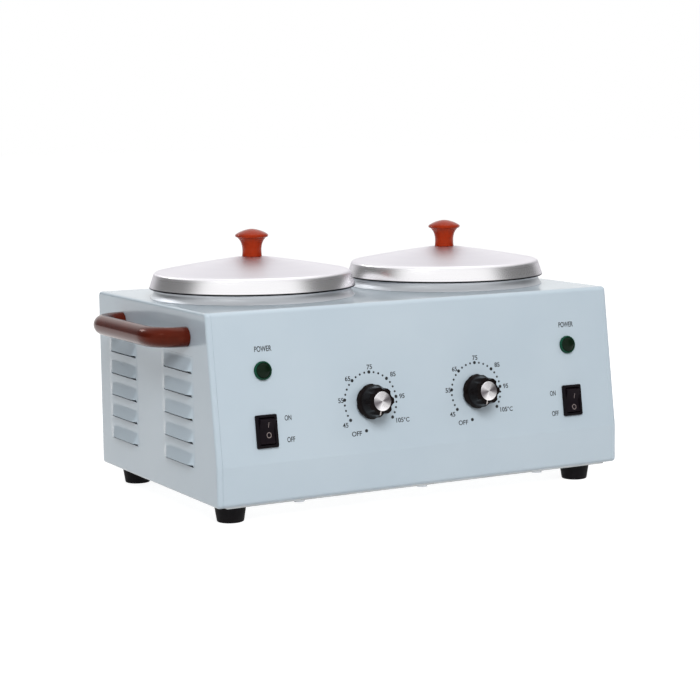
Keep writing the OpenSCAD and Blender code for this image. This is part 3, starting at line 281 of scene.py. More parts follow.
def screenInk(name, colour, pale):
    # Screen-printed enamel ink: flat, slightly uneven in cover
    cover = 0.5
    material, tree, shader, place = startMaterial(name, {"Roughness": 0.5, "IOR": 1.5})
    tone, noise = mottle(tree, place, cover, 0.0, 0.5, 3.0)
    rough = addNode(tree, "MapRange", {"Value": noise, "From Min": 0.3, "From Max": 0.7, "To Min": 0.45,
                                       "To Max": 0.58})
    paint(tree, shader, tone, colour, pale, rough)
    return material


finishes = {
    "coated_steel": powderCoatedSteel(),
    "lid_aluminium": spunAluminium("spunLidAluminium", {
        "colour": "#f4f2f6", "pale": "#f8f6f9", "bright": "#fbfafc", "glance": "#d8d6db", "roughness": 0.46,
        "streak": 0.015, "stretch": 0.4, "ring": 0.45, "band": 7.0, "blotch": 30.0, "depth": 0.0005,
        # The near-black colour at the bottom of the rolled edge is painted shade, for the dark gap under the
        # skirt
        "polished": 67.0, "smoother": 0.2, "shadedBelow": 141.1, "stainAndShade": "#17161a"}),
    "spun_aluminium": spunAluminium("spunPotAluminium", {
        "colour": "#c6cad0", "pale": "#d4d8dd", "roughness": 0.42, "stretch": 0.4, "ring": 0.6, "band": 9.0,
        "blotch": 25.0, "depth": 0.005}),
    "cap_aluminium": spunAluminium("turnedCapAluminium", {
        # The dark sectors on the cap are a painted reflection of the turned face
        "colour": "#e6e3e6", "pale": "#f0eef0", "darkReflection": "#6f6a6e", "darkReflectionTurn": -0.5, "roughness": 0.24,
        "stretch": 0.9, "ring": 0.16, "band": 1.5, "blotch": 5.0, "depth": 0.003}),
    "red_phenolic": phenolicResin("mouldedPhenolic", {
        "colour": "#a32e10", "dark": "#86220a", "glow": "#ff9a68", "coat": 0.08}),
    "black_phenolic": mouldedPlastic("mouldedBlackPhenolic", {
        "colour": "#0d0808", "pale": "#130c0c", "roughness": 0.2, "gloss": 0.05, "ior": 1.6, "grain": 0.5,
        "depth": 0.006}),
    "black_plastic": mouldedPlastic("mouldedBlackNylon", {
        "colour": "#120f13", "pale": "#181418", "roughness": 0.38, "gloss": 0.05, "grain": 0.3,
        "depth": 0.012}),
    "rocker_plastic": mouldedPlastic("mouldedBlackPolycarbonate", {
        "colour": "#140f14", "pale": "#1b151a", "roughness": 0.32, "gloss": 0.05, "grain": 0.3,
        "depth": 0.008}),
    "inner_plastic": mouldedPlastic("mouldedBlackBakelite", {
        "colour": "#1a1a1c", "pale": "#262628", "roughness": 0.5, "grain": 0.5, "depth": 0.02}),
    "cream_plastic": mouldedPlastic("mouldedCreamNylon", {
        "colour": "#d8d4c6", "pale": "#e3e0d4", "roughness": 0.45, "grain": 0.5, "depth": 0.015}),
    "wire_silicone": mouldedPlastic("extrudedRedSilicone", {
        "colour": "#8e2c20", "pale": "#a23a2b", "roughness": 0.55, "grain": 0.8, "depth": 0.02}),
    "foot_rubber": footRubber(),
    "zinc_steel": wroughtMetal("zincPlatedSteel", {
        "colour": "#a9adb2", "pale": "#c3c6ca", "roughness": 0.28, "stainAndShade": 3.0}),
    "steel_wire": wroughtMetal("drawnStainlessWire", {
        "colour": "#b0b2b4", "pale": "#c6c8ca", "roughness": 0.22, "stainAndShade": 5.0}),
    "base_steel": galvanisedSteel(),
    "brass": wroughtMetal("stampedBrass", {
        "colour": "#b89a4e", "pale": "#cdb26a", "roughness": 0.3, "stainAndShade": 3.0}),
    "copper": wroughtMetal("drawnCopper", {
        "colour": "#a5683f", "pale": "#bb7d55", "roughness": 0.32, "stainAndShade": 4.0}),
    "green_lens": greenLens(),
    "heater_mica": pressedMica(),
}
# A darker copy of the red phenolic for the handle bars: painted shade, standing in for the bars' shaded look
shadedBarPhenolic = phenolicResin("shadedCopyOfPhenolic", {
    "colour": "#54180b", "dark": "#3e1007", "glow": "#ff8a60", "coat": 0.12})
blackInk = screenInk("printedBlackInk", "#0e1216", "#1d2228")
dotInk = screenInk("printedDotInk", "#0c0f14", "#1c2026")
whiteInk = screenInk("printedWhiteInk", "#cfc7c4", "#e6e0dd")
markInk = screenInk("printedMarkInk", "#8c7f7d", "#9b8e8c")


# Places

def at(x, y, z):
    return Matrix.Translation(Vector((x, y, z)) * mm)


def turned(angle, axis):
    return Matrix.Rotation(math.radians(angle), 4, axis)


def onFront(x, v, out=0.0):
    # X right, Y up the slope, Z out of the front
    foot = at(x, frontY + v * math.sin(tilt), bottomZ + housing["lip"] + v * math.cos(tilt))
    return foot @ turned(90 - housing["tilt"], "X") @ at(0, 0, out)


def onBack(x, z):
    return at(x, backY, z) @ turned(180, "Z") @ turned(90, "X")


def overWell(s, z=0.0):
    return at(s * housing["wellX"], wellY, z)


# Meshes

def shadeEdges(mesh, sharp):
    mesh.polygons.foreach_set("use_smooth", [True] * len(mesh.polygons))
    mesh.set_sharp_from_angle(angle=math.radians(sharp))


def newObject(name, data, place=None):
    thing = bpy.data.objects.new(name, data)
    bpy.context.scene.collection.objects.link(thing)
    if place is not None:
        thing.matrix_world = place
    return thing


def makeMesh(name, points, faces, place=None, sharp=32, merge=0.002):
    mesh = bpy.data.meshes.new(name)
    mesh.from_pydata([Vector(p) * mm for p in points], [], faces)
    build = bmesh.new()
    build.from_mesh(mesh)
    bmesh.ops.remove_doubles(build, verts=build.verts, dist=merge * mm)
    bmesh.ops.dissolve_degenerate(build, edges=build.edges, dist=1e-7)
    bmesh.ops.recalc_face_normals(build, faces=build.faces)
    build.to_mesh(mesh)
    build.free()
    shadeEdges(mesh, sharp)
    return newObject(name, mesh, place)


def settle(piece, sharp=32):
    # Applies the modifiers to the mesh
    bpy.context.view_layer.update()
    depsgraph = bpy.context.evaluated_depsgraph_get()
    mesh = bpy.data.meshes.new_from_object(piece.evaluated_get(depsgraph))
    piece.modifiers.clear()
    piece.data = mesh
    shadeEdges(mesh, sharp)


def carve(piece, cutters):
    for cutter in cutters:
        modifier = piece.modifiers.new("cut", "BOOLEAN")
        modifier.object = cutter
        modifier.operation = "DIFFERENCE"
        modifier.solver = "EXACT"
    settle(piece)
    for cutter in cutters:
        bpy.data.objects.remove(cutter)


def join(piece, others):
    build = bmesh.new()
    build.from_mesh(piece.data)
    back = piece.matrix_world.inverted()
    for other in others:
        mesh = other.data.copy()
        mesh.transform(back @ other.matrix_world)
        build.from_mesh(mesh)
        bpy.data.meshes.remove(mesh)
        bpy.data.objects.remove(other)
    build.to_mesh(piece.data)
    build.free()
    shadeEdges(piece.data, 40)


def dress(piece, body, slotName, node=None, material=None):
    piece.data.materials.clear()
    piece.data.materials.append(material or finishes[slotName])
    bpy.context.view_layer.update()
    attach(piece, body)
    if node:
        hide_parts(node)


def arc(cx, cy, radius, start, end, count):
    angles = [math.radians(start + (end - start) * i / count) for i in range(count + 1)]
    return [(cx + radius * math.cos(a), cy + radius * math.sin(a)) for a in angles]


def circle(radius, z, steps):
    angles = [math.tau * k / steps for k in range(steps)]
    return [(radius * math.cos(a), radius * math.sin(a), z) for a in angles]


def roundedRect(width, height, radius, z, corner=6):
    w, h = width / 2 - radius, height / 2 - radius
    points = []
    for cx, cy, start in ((w, h, 0), (-w, h, 90), (-w, -h, 180), (w, -h, 270)):
        points += [(x, y, z) for x, y in arc(cx, cy, radius, start, start + 90, corner)]
    return points


def bridge(count, rings):
    # Faces between neighbouring rings of count points each
    faces = []
    for low in range(0, (rings - 1) * count, count):
        high = low + count
        faces += [[low + k, low + (k + 1) % count, high + (k + 1) % count, high + k] for k in range(count)]
    return faces


def loft(name, rings, place=None, sharp=32):
    # Joins rings of equally many points; the ends are closed with one face each
    count = len(rings[0])
    points = [p for ring in rings for p in ring]
    faces = bridge(count, len(rings))
    faces.append(list(range(count))[::-1])
    faces.append([(len(rings) - 1) * count + k for k in range(count)])
    return makeMesh(name, points, faces, place, sharp)


def lathe(name, profile, place, steps=192, closed=False, sharp=32):
    points, faces, rings = [], [], []
    for radius, height in profile:
        loop = circle(radius, height, steps) if radius > 1e-6 else [(0, 0, height)]
        rings.append(range(len(points), len(points) + len(loop)))
        points += loop
    pairs = list(zip(rings, rings[1:])) + ([(rings[-1], rings[0])] if closed else [])
    for low, high in pairs:
        for k in range(steps):
            n = (k + 1) % steps
            face = [low[k % len(low)], low[n % len(low)], high[n % len(high)], high[k % len(high)]]
            face = list(dict.fromkeys(face))  # beside the axis two corners are one point
            if len(face) > 2:
                faces.append(face)
    return makeMesh(name, points, faces, place, sharp)


def sweep(name, path, radii, steps, place=None):
    # A round bar along a path, carried without twist
    path = [Vector(p) for p in path]
    rings, side = [], None
    for i, point in enumerate(path):
        heading = (path[min(i + 1, len(path) - 1)] - path[max(i - 1, 0)]).normalized()
        if side is None:
            side = heading.orthogonal().normalized()
        side = (side - heading * side.dot(heading)).normalized()
        other = heading.cross(side)
        rings.append([point + (side * x + other * y) * radii[i] for x, y, _ in circle(1.0, 0.0, steps)])
    return loft(name, rings, place, 40)


def block(name, size, radius, low, high, place):
    return loft(name, [roundedRect(*size, radius, low), roundedRect(*size, radius, high)], place)


def drill(radius, low, high, place, steps=32):
    # Cutter for a round hole
    return lathe("cut", [(0, low), (radius, low), (radius, high), (0, high)], place, steps)


print("camera and light")

# The camera stands where the photograph was taken from, worked out from the housing's edges
view = {"lens": 98.96, "yaw": 28.776, "pitch": 7.292, "roll": -0.708, "eye": (-642.28, -1155.84, 261.75)}


def makeCamera():
    yaw, pitch, roll = (math.radians(view[k]) for k in ("yaw", "pitch", "roll"))
    forward = Vector((math.sin(yaw) * math.cos(pitch), math.cos(yaw) * math.cos(pitch), -math.sin(pitch)))
    right = Vector((math.cos(yaw), -math.sin(yaw), 0))
    up = right.cross(forward)
    sideways = math.cos(roll) * right + math.sin(roll) * up
    upright = -math.sin(roll) * right + math.cos(roll) * up
    lens = bpy.data.cameras.new("camera")
    lens.lens = view["lens"]
    lens.sensor_width = 36.0
    lens.clip_end = 50.0
    turn = Matrix((sideways, upright, -forward)).transposed().to_4x4()
    bpy.context.scene.camera = newObject("camera", lens, at(*view["eye"]) @ turn)


# The lamps' places and sizes are in metres
lights = {
    "key": {"from": (-0.8, -1.95, 1.5), "size": (1.1, 0.9), "power": 39.0, "glossy": False},
    "top": {"from": (0.3, 0.0, 1.8), "size": (1.2, 1.0), "power": 3.5, "glossy": True},
    "left": {"from": (-1.7, -0.9, 1.6), "size": (0.35, 0.35), "power": 1.5, "glossy": True},
    "right": {"from": (1.7, -0.9, 1.2), "size": (0.9, 1.2), "power": 4.0, "glossy": False},
    "back": {"from": (-0.9, 1.5, 1.2), "size": (0.5, 0.4), "power": 3.5, "glossy": True},
}
surround = {
    "light": 0.34, "floorGlow": 0.86, "floorColour": 0.45, "floorHalf": 9000.0,
    "cards": ((0.956, -0.292), (-0.755, 0.656)),  # which way the dark cards stand
    "cardShade": 0.18, "cardHalf": 37.0, "cardTop": 32.0,  # half their width and their height, in degrees
}


def makeLights():
    for name, values in lights.items():
        lamp = bpy.data.lights.new(name, "AREA")
        lamp.shape = "RECTANGLE"
        lamp.size, lamp.size_y = values["size"]
        lamp.energy = values["power"]
        spot = Vector(values["from"])
        turn = (Vector((0, 0, 0.09)) - spot).to_track_quat("-Z", "Y").to_matrix().to_4x4()
        holder = newObject(name, lamp, Matrix.Translation(spot) @ turn)
        holder.visible_glossy = values["glossy"]  # the big soft boxes leave no glare in metal


def seenStraight(tree):
    # 1 for rays that should meet the plain background itself
    path = addNode(tree, "LightPath").outputs
    mixed = addNode(tree, "Math", {0: path["Is Camera Ray"], 1: path["Is Glossy Ray"]}, operation="MAXIMUM")
    return addNode(tree, "Math", {0: mixed, 1: path["Is Transmission Ray"]}, operation="MAXIMUM")


def cardCover(tree):
    # Two tall dark cards, one on each side, which only gloss reflects: they give bare metal its dark streaks
    split = addNode(tree, "SeparateXYZ", {"Vector": addNode(tree, "TexCoord").outputs["Generated"]}).outputs
    level = addNode(tree, "CombineXYZ", {"X": split[0], "Y": split[1]})
    level = addNode(tree, "VectorMath", {0: level}, operation="NORMALIZE")
    half, top = surround["cardHalf"], surround["cardTop"]
    facing = []
    for x, y in surround["cards"]:
        across = addNode(tree, "VectorMath", {0: level, 1: (x, y, 0.0)}, operation="DOT_PRODUCT")
        facing.append(addNode(tree, "MapRange", {
            "Value": across.outputs["Value"], "From Min": math.cos(math.radians(half + 10)),
            "From Max": math.cos(math.radians(half - 10))}))
    either = addNode(tree, "Math", {0: facing[0], 1: facing[1]}, operation="MAXIMUM")
    low = addNode(tree, "MapRange", {"Value": split[2], "From Min": math.sin(math.radians(top + 12)),
                                     "From Max": math.sin(math.radians(top - 8))})
    both = addNode(tree, "Math", {0: either, 1: low}, operation="MULTIPLY")
    glossy = addNode(tree, "LightPath").outputs["Is Glossy Ray"]
    return addNode(tree, "Math", {0: both, 1: glossy}, operation="MULTIPLY")


def makeSurround():
    white = (1, 1, 1, 1)
    world = bpy.data.worlds.new("surround")
    tree = emptyTree(world)
    card = surround["cardShade"]
    shade = addNode(tree, "Mix", {0: cardCover(tree), 6: white, 7: (card, card, card, 1)}, data_type="RGBA")
    light = addNode(tree, "Background", {"Color": white, "Strength": surround["light"]})
    shown = addNode(tree, "Background", {"Color": shade.outputs[2], "Strength": 1.0})
    mix = addNode(tree, "MixShader", {0: seenStraight(tree), 1: light, 2: shown})
    addNode(tree, "OutputWorld", {"Surface": mix})
    bpy.context.scene.world = world

    half = surround["floorHalf"]
    floor = makeMesh("floor", [(-half, -half, 0), (half, -half, 0), (half, half, 0), (-half, half, 0)],
                     [(0, 1, 2, 3)])
    material = bpy.data.materials.new("paleFloor")
    tree = emptyTree(material)
    shade = surround["floorColour"]
    matt = addNode(tree, "BsdfDiffuse", {"Color": (shade, shade, shade, 1)})
    glow = addNode(tree, "Emission", {"Color": white, "Strength": surround["floorGlow"]})
    both = addNode(tree, "AddShader", {0: matt, 1: glow})
    mix = addNode(tree, "MixShader", {0: seenStraight(tree), 1: matt, 2: both})
    addNode(tree, "OutputMaterial", {"Surface": mix})
    floor.data.materials.append(material)


makeCamera()
makeLights()
makeSurround()
bpy.context.scene.view_settings.view_transform = "Standard"


print("housing")

setBack = (housing["height"] - housing["lip"]) * math.tan(tilt)
corners = {
    "kink": (frontY, bottomZ + housing["lip"]),
    "frontLow": (frontY, bottomZ),
    "backLow": (backY, bottomZ),
    "backTop": (backY, deckZ),
    "frontTop": (frontY + setBack, deckZ),
}
controls = {  # on each half of the front: out from the middle, and up the slope
    "dial": (40.3, 32.7), "switch": (116.4, 20.4), "lamp": (115.9, 58.5),
    "offAngle": 14.3,  # from straight down, clockwise
    "stepAngle": 41.85, "firstAngle": 55.6, "dotRadius": 19.1,
}
inlet = {
    "z": bottomZ + 36, "flange": (50.0, 23.0), "thick": 2.5, "pitch": 40.0, "body": (27.4, 20.0),
    "screw": 1.55, "pins": ((-7, -2), (7, -2), (0, 2)),
}
openings = {  # in the cover: a radius, or a width and a height
    "well": 63.2, "dial": 5.05, "lamp": 5.1, "switch": (13.4, 19.4), "inlet": (28.0, 20.6),
}
handle = {
    "diameter": 13.0, "out": 20.0, "span": 106.0, "bend": 19.0, "y": 95.0, "z": 104.0,
    "bore": 8.95, "screw": 2.55,  # how deep the screws go in, and their radius
}


def onControl(kind, s, out=0.0, up=0.0):
    x, v = controls[kind]
    return onFront(s * x, v + up, out)


def handleEnd(s, e):
    along = frontY + handle["y"] + e * handle["span"] / 2
    return at(s * housing["width"] / 2, along, bottomZ + handle["z"])


def leftOf(heading):
    return Vector((-heading.y, heading.x))


def bentPath(points, radii, inset, soft=0.6, bendStep=7.0):
    # Folded edge of a sheet, its inside to the left; soft points keep the flats flat beside each bend
    points, out = [Vector(p) for p in points], []
    for i in range(1, len(points) - 1):
        a, b, c = points[i - 1:i + 2]
        first, second = (b - a).normalized(), (c - b).normalized()
        turn = first.angle(second)
        reach = radii[i] * math.tan(turn / 2)
        centre = b - first * reach + leftOf(first) * radii[i]
        heading = math.degrees(math.atan2(first.y, first.x)) - 90
        count = max(2, math.ceil(math.degrees(turn) / bendStep))
        bend = arc(centre.x, centre.y, radii[i] - inset, heading, heading + math.degrees(turn), count)
        out.append(b - first * (reach + soft) + leftOf(first) * inset)
        out += [Vector(p) for p in bend]
        out.append(b + second * (reach + soft) + leftOf(second) * inset)
    start = points[0] + leftOf((points[1] - points[0]).normalized()) * inset
    end = points[-1] + leftOf((points[-1] - points[-2]).normalized()) * inset
    return [start] + out + [end]


def makeCover():
    flange = housing["flange"]
    points = [(backY - flange, bottomZ), corners["backLow"], corners["backTop"], corners["frontTop"],
              corners["kink"], corners["frontLow"], (frontY + flange, bottomZ)]
    low, top = housing["lowBend"], housing["topBend"]
    radii = [0, low, top, top, low, low, 0]
    section = bentPath(points, radii, 0) + bentPath(points, radii, housing["sheet"])[::-1]
    end = housing["coverEnd"]
    rings = [[(x, p[0], p[1]) for p in section] for x in (-end, -end + 0.4, end - 0.4, end)]
    cover = loft("housingCover", rings)
    cutters = []
    for _, s in sides:
        cutters.append(drill(openings["well"], deckZ - 3, deckZ + 3, overWell(s), 192))
        cutters.append(drill(openings["dial"], -3, 3, onControl("dial", s), 48))
        cutters.append(drill(openings["lamp"], -3, 3, onControl("lamp", s), 48))
        cutters.append(block("cut", openings["switch"], 0.5, -3, 3, onControl("switch", s)))
        cutters.append(drill(inlet["screw"], -3, 3, onBack(s * inlet["pitch"] / 2, inlet["z"]), 24))
    cutters.append(block("cut", openings["inlet"], 0.5, -3, 3, onBack(0, inlet["z"])))
    carve(cover, cutters)
    dress(cover, "housing", "coated_steel", "housing_cover")


louvres = {
    "length": 46.0, "height": 8.0, "out": 3.0,
    "front": 3.0, "rear": 5.5, "fillet": 1.3,  # lengths of the closed ends, and how soft they are
    "rows": 5, "pitch": 15.0, "low": 22.5, "middle": 103.0, "columnPitch": 91.0,
    "slot": 1.7,  # how high each hood stands open
    "fine": 0.6, "gridWide": 54.0, "gridHigh": 9.6, "gridRows": 14, "gridLow": 16.0,
}


def louvreHeight(along, above):
    # A straight ramp from its mouth up to the flat, closed by two steep ends and softened where they meet
    ramp = louvres["out"] * (1 - above / louvres["height"])
    slope = louvres["rear"] if along > 0 else louvres["front"]
    end = (louvres["length"] / 2 - abs(along)) * louvres["out"] / slope
    k = louvres["fillet"]
    rise = (ramp + end - math.hypot(ramp - end, k)) / 2
    return (rise + math.hypot(rise, k * 0.6)) / 2 if rise > -1.5 else 0.0


def panelRim():
    # Rings of y, z and depth, from the flange inside the cover round the bent edge to the flat
    order = ["kink", "frontLow", "backLow", "backTop", "frontTop"]
    radii = [housing["lowBend"]] * 3 + [housing["topBend"]] * 2
    closed = [corners[k] for k in order]

    def ring(inset, depth):
        loop = []
        for i in range(len(closed)):
            trio = [closed[i - 1], closed[i], closed[(i + 1) % len(closed)]]
            loop += bentPath(trio, [0, radii[i], 0], inset, 0.5)[1:-1]
        return [(p[0], p[1], depth) for p in loop]

    bend = housing["sideBend"]
    stepIn = housing["sheet"] + 0.3
    rim = bend + housing["sideLand"]
    rings = [ring(stepIn, housing["sideFlange"]), ring(stepIn, rim), ring(0.1, rim), ring(0.0, rim - 0.1)]
    for angle in range(0, 91, 10):
        a = math.radians(angle)
        rings.append(ring(bend - bend * math.cos(a), bend - bend * math.sin(a)))
    return rings + [ring(bend + 0.8, 0.0)]


def pointInside(point, loop):
    inside = False
    for i in range(len(loop)):
        a, b = loop[i - 1], loop[i]
        if (a[1] > point.y) != (b[1] > point.y):
            if point.x < (b[0] - a[0]) * (point.y - a[1]) / (b[1] - a[1]) + a[0]:
                inside = not inside
    return inside


def makeSidePanel(side, s):
    rings = panelRim()
    points = [p for loop in rings for p in loop]
    faces = bridge(len(rings[0]), len(rings))

    # Fine grid over the louvres. A row on a hood holds its height above the mouth, one below a slot -1
    centres = [frontY + louvres["middle"] + c * louvres["columnPitch"] for c in (-0.5, 0.5)]
    wide, count = louvres["gridWide"], louvres["gridRows"]
    steps = round(wide / louvres["fine"])
    ys = [centre - wide / 2 + wide * i / steps for centre in centres for i in range(steps + 1)]
    rows = [(bottomZ + louvres["gridLow"], None)]
    for r in range(louvres["rows"]):
        mouth = bottomZ + louvres["low"] + r * louvres["pitch"]
        rows.append((mouth - louvres["slot"], -1))
        for i in range(count + 1):
            above = louvres["gridHigh"] * i / count
            rows.append((mouth + above, above))

    def alongHood(y):
        return y - min(centres, key=lambda c: abs(c - y))

    base = len(points)
    for y in ys:
        for z, above in rows:
            onHood = above is not None and above >= 0
            points.append((y, z, -louvreHeight(alongHood(y), above) if onHood else 0.0))
    for i in range(len(ys) - 1):
        for j in range(len(rows) - 1):
            middle = alongHood((ys[i] + ys[i + 1]) / 2)
            if rows[j][1] == -1 and abs(middle) < louvres["length"] / 2 - 0.6:  # the slot under a hood
                continue
            a = base + i * len(rows) + j
            faces.append([a, a + len(rows), a + len(rows) + 1, a + 1])

    # The flat between the grid and the bend
    inner, zs = rings[-1], [z for z, _ in rows]
    border = [(ys[0], z) for z in zs] + [(y, zs[-1]) for y in ys[1:]]
    border += [(ys[-1], z) for z in zs[::-1][1:]] + [(y, zs[0]) for y in ys[::-1][1:-1]]
    border = list(dict.fromkeys((round(y, 5), round(z, 5)) for y, z in border))
    outline = [Vector((p[0], p[1])) for p in inner] + [Vector(p) for p in border]
    edges = [(i, (i + 1) % len(inner)) for i in range(len(inner))]
    edges += [(len(inner) + i, len(inner) + (i + 1) % len(border)) for i in range(len(border))]
    spots, _, triangles = delaunay_2d_cdt(outline, edges, [], 0, 1e-6)[:3]
    start = len(points)
    points += [(p.x, p.y, 0.0) for p in spots]
    for triangle in triangles:
        middle = sum((spots[i] for i in triangle), Vector((0, 0))) / len(triangle)
        inGrid = ys[0] < middle.x < ys[-1] and zs[0] < middle.y < zs[-1]
        if not inGrid and pointInside(middle, inner):
            faces.append([start + i for i in triangle])

    placed = [(s * (housing["width"] / 2 - depth), y, z) for y, z, depth in points]
    panel = makeMesh(side + "SidePanel", placed, faces, None, 38, 0.02)
    thicken = panel.modifiers.new("sheet", "SOLIDIFY")
    thicken.thickness = housing["sheet"] * mm
    thicken.offset = -1
    settle(panel, 38)
    carve(panel, [drill(handle["screw"], -3, 3, handleEnd(s, e) @ turned(90, "Y")) for e in (-1, 1)])
    dress(panel, "housing", "coated_steel", side + "_side_panel")


makeCover()
for side, s in sides:
    makeSidePanel(side, s)


print("handles and feet")

feet = {"x": 133.0, "frontIn": 23.0, "rearIn": 17.0, "bore": 2.05, "screwHead": 4.4, "screwSeat": 5.4}


def makeHandle(side, s):
    # The path runs out from the panel, round a soft bend, along the bar and back
    bend, out, half = handle["bend"], handle["out"], handle["span"] / 2
    leg = out - bend
    path = [(half, 0.0), (half, leg * 0.4), (half, leg * 0.8)]
    for i in range(17):
        t = math.radians(90 * i / 16)
        path.append((half - bend + bend * math.cos(t) ** 0.94, leg + bend * math.sin(t) ** 0.94))
    path += [(half - bend - (half - bend) * i / 6, out) for i in range(1, 6)]
    path += [(0.0, out)] + [(-a, h) for a, h in path[::-1]]
    middle, y, z = s * housing["width"] / 2, frontY + handle["y"], bottomZ + handle["z"]
    placed = [(middle + s * h, y + a, z) for a, h in path]
    radius = handle["diameter"] / 2
    radii = [radius - 0.5] + [radius] * (len(path) - 2) + [radius - 0.5]
    bar = sweep(side + "Handle", placed, radii, 48)
    ends = [handleEnd(s, e) @ turned(90 * s, "Y") for e in (-1, 1)]
    carve(bar, [drill(handle["screw"], -1, handle["bore"], end) for end in ends])
    # The bars wear the darker copy of the red phenolic, whose extra darkness is painted shade
    dress(bar, "housing", "red_phenolic", side + "_handle", shadedBarPhenolic)


def makeFoot(name, x, y, node):
    # Tapered down from the base plate to a rounded tread, with a deep seat for its screw
    bore, head, seat = feet["bore"], feet["screwHead"], feet["screwSeat"]
    profile = [(head, 0.4), (head + 0.4, 0.0)] + arc(8.0, 0.75, 0.75, -90, -6, 5)
    profile += [(8.78, 0.9), (9.9, 8.0), (10.5, 11.2)] + arc(10.2, 11.5, 0.5, 0, 90, 4)
    profile += [(bore, 12.0), (bore, seat), (head, seat)]
    foot = lathe(name, profile, at(x, y, 0), 96, True)
    dress(foot, "housing", "foot_rubber", node)


for side, s in sides:
    makeHandle(side, s)
    for end, y in (("front", frontY + feet["frontIn"]), ("rear", backY - feet["rearIn"])):
        makeFoot(end + side.title() + "Foot", s * feet["x"], y, end + "_" + side + "_foot")


print("wells, pots and lids")

pot = {
    "gap": 0.8, "wellInner": 61.4, "depth": 76.0, "collar": 8.0, "collarWide": 5.0, "flare": 2.6,
    "flareHigh": 4.6, "neck": 6.1, "shoulder": 1.2, "bead": 2.4, "wire": 2.6, "wellSheet": 1.2, "sheet": 1.0,
    "bailHole": 1.38, "stud": 14.1,
}
potOuter = pot["wellInner"] - pot["gap"]
beadOuter = potOuter + 1.6
shoulderZ = deckZ + pot["collar"] + 0.3
beadTop = shoulderZ + pot["shoulder"] + pot["neck"]
bailRadius = beadOuter + 0.4 + pot["wire"] / 2
bailZ = beadTop - pot["bead"] - pot["wire"] / 2 - 0.2
lid = {
    "seat": 0.3, "sheet": 1.0, "skirt": 11.2, "flare": 2.7, "round": 3.0, "rise": 9.2, "pad": 8.0,
    "knob": 18.6, "hole": 2.05,
}


def makeWell(side, s):
    inner, sheet = pot["wellInner"], pot["wellSheet"]
    outer, collar = inner + sheet, inner + pot["collarWide"]
    top = deckZ + pot["collar"]
    floor = deckZ - pot["depth"] - 0.3
    foot = collar + pot["flare"]
    stud = floor - 1.5 - pot["stud"]
    profile = [(0.0, stud), (2.6, stud), (3.0, stud + 0.4), (3.0, floor - 1.5)]
    profile += arc(outer - 7.5, floor + 6.0, 7.5, -90, 0, 12)
    profile += [(outer, top - sheet - 1.0)] + arc(outer + 1.0, top - sheet - 1.0, 1.0, 180, 90, 5)
    profile += arc(collar - sheet - 1.0, top - sheet - 1.0, 1.0, 90, 0, 5)
    profile += [(collar - sheet, deckZ + 2.4)] + arc(collar - sheet + 1.6, deckZ + 1.6, 1.6, 180, 270, 6)
    profile += [(foot - 0.2, deckZ), (foot, deckZ + 0.12)]
    for f in (0.15, 0.3, 0.45, 0.6, 0.75, 0.9, 1.0):
        profile.append((foot - pot["flare"] * (1.7 * f - 0.7 * f * f), deckZ + 0.12 + pot["flareHigh"] * f))
    profile += arc(collar - 1.6, top - 1.6, 1.6, 0, 90, 8)
    profile += arc(inner + 1.6, top - 1.6, 1.6, 90, 180, 8)
    profile += arc(inner - 6.0, floor + 6.0, 6.0, 0, -90, 12) + [(0.0, floor)]
    well = lathe(side + "Well", profile, overWell(s), 256)
    dress(well, "housing", "spun_aluminium", side + "_well")


def makePot(side, s):
    outer, inner = potOuter, potOuter - pot["sheet"]
    bottom = deckZ - pot["depth"]
    low, high = shoulderZ, shoulderZ + pot["shoulder"]
    edge = pot["wellInner"] + pot["collarWide"] - 1.2
    profile = [(0.0, bottom)] + arc(outer - 6.0, bottom + 6.0, 6.0, -90, 0, 12)
    profile += [(outer, low - 0.3), (outer + 0.3, low), (edge - 0.5, low)]
    profile += arc(edge - 0.55, low + 0.6, 0.55, -80, 80, 6)
    profile += [(edge - 0.5, high), (outer + 0.6, high), (outer, high + 0.6)]
    profile += [(outer, beadTop - pot["bead"] - 0.3)]
    profile += arc(beadOuter - 1.1, beadTop - 1.2, 1.15, -80, 90, 10)
    profile += arc(inner + 0.6, beadTop - 0.65, 0.6, 90, 180, 4)
    profile += arc(inner - 5.0, bottom + 6.0, 5.0, 0, -90, 12) + [(0.0, bottom + 1.0)]
    piece = lathe(side + "Pot", profile, overWell(s), 256)
    carve(piece, [drill(pot["bailHole"], -70, 70, overWell(s, bailZ) @ turned(90, "Y"))])
    dress(piece, side + "_pot", "spun_aluminium", side + "_pot")


def makeBail(side, s):
    wire = pot["wire"] / 2
    bend = wire + 0.7
    bendX = math.sqrt((bailRadius - bend) ** 2 - bend * bend)
    lead = math.degrees(math.atan(bend / bendX))
    tip = potOuter - pot["sheet"] - 1.8
    half = [(tip + along, 0.0) for along in (-0.6, -0.55, 0.3, 0.4, 1.2)] + [(bendX, 0.0)]
    radii = [wire + 0.3, wire + 0.7, wire + 0.7, wire, wire, wire]  # a head inside the pot holds each end
    turn = arc(bendX, bend, bend, -90, lead, 12)[1:] + arc(0, 0, bailRadius, lead + 2, 90, 40)
    half += turn
    radii += [wire] * len(turn)
    path = [(a, b, 0) for a, b in half] + [(-a, b, 0) for a, b in half[-2::-1]]
    bail = sweep(side + "PotBail", path, radii + radii[-2::-1], 24, overWell(s, bailZ))
    dress(bail, side + "_pot_bail", "steel_wire", side + "_pot_bail")


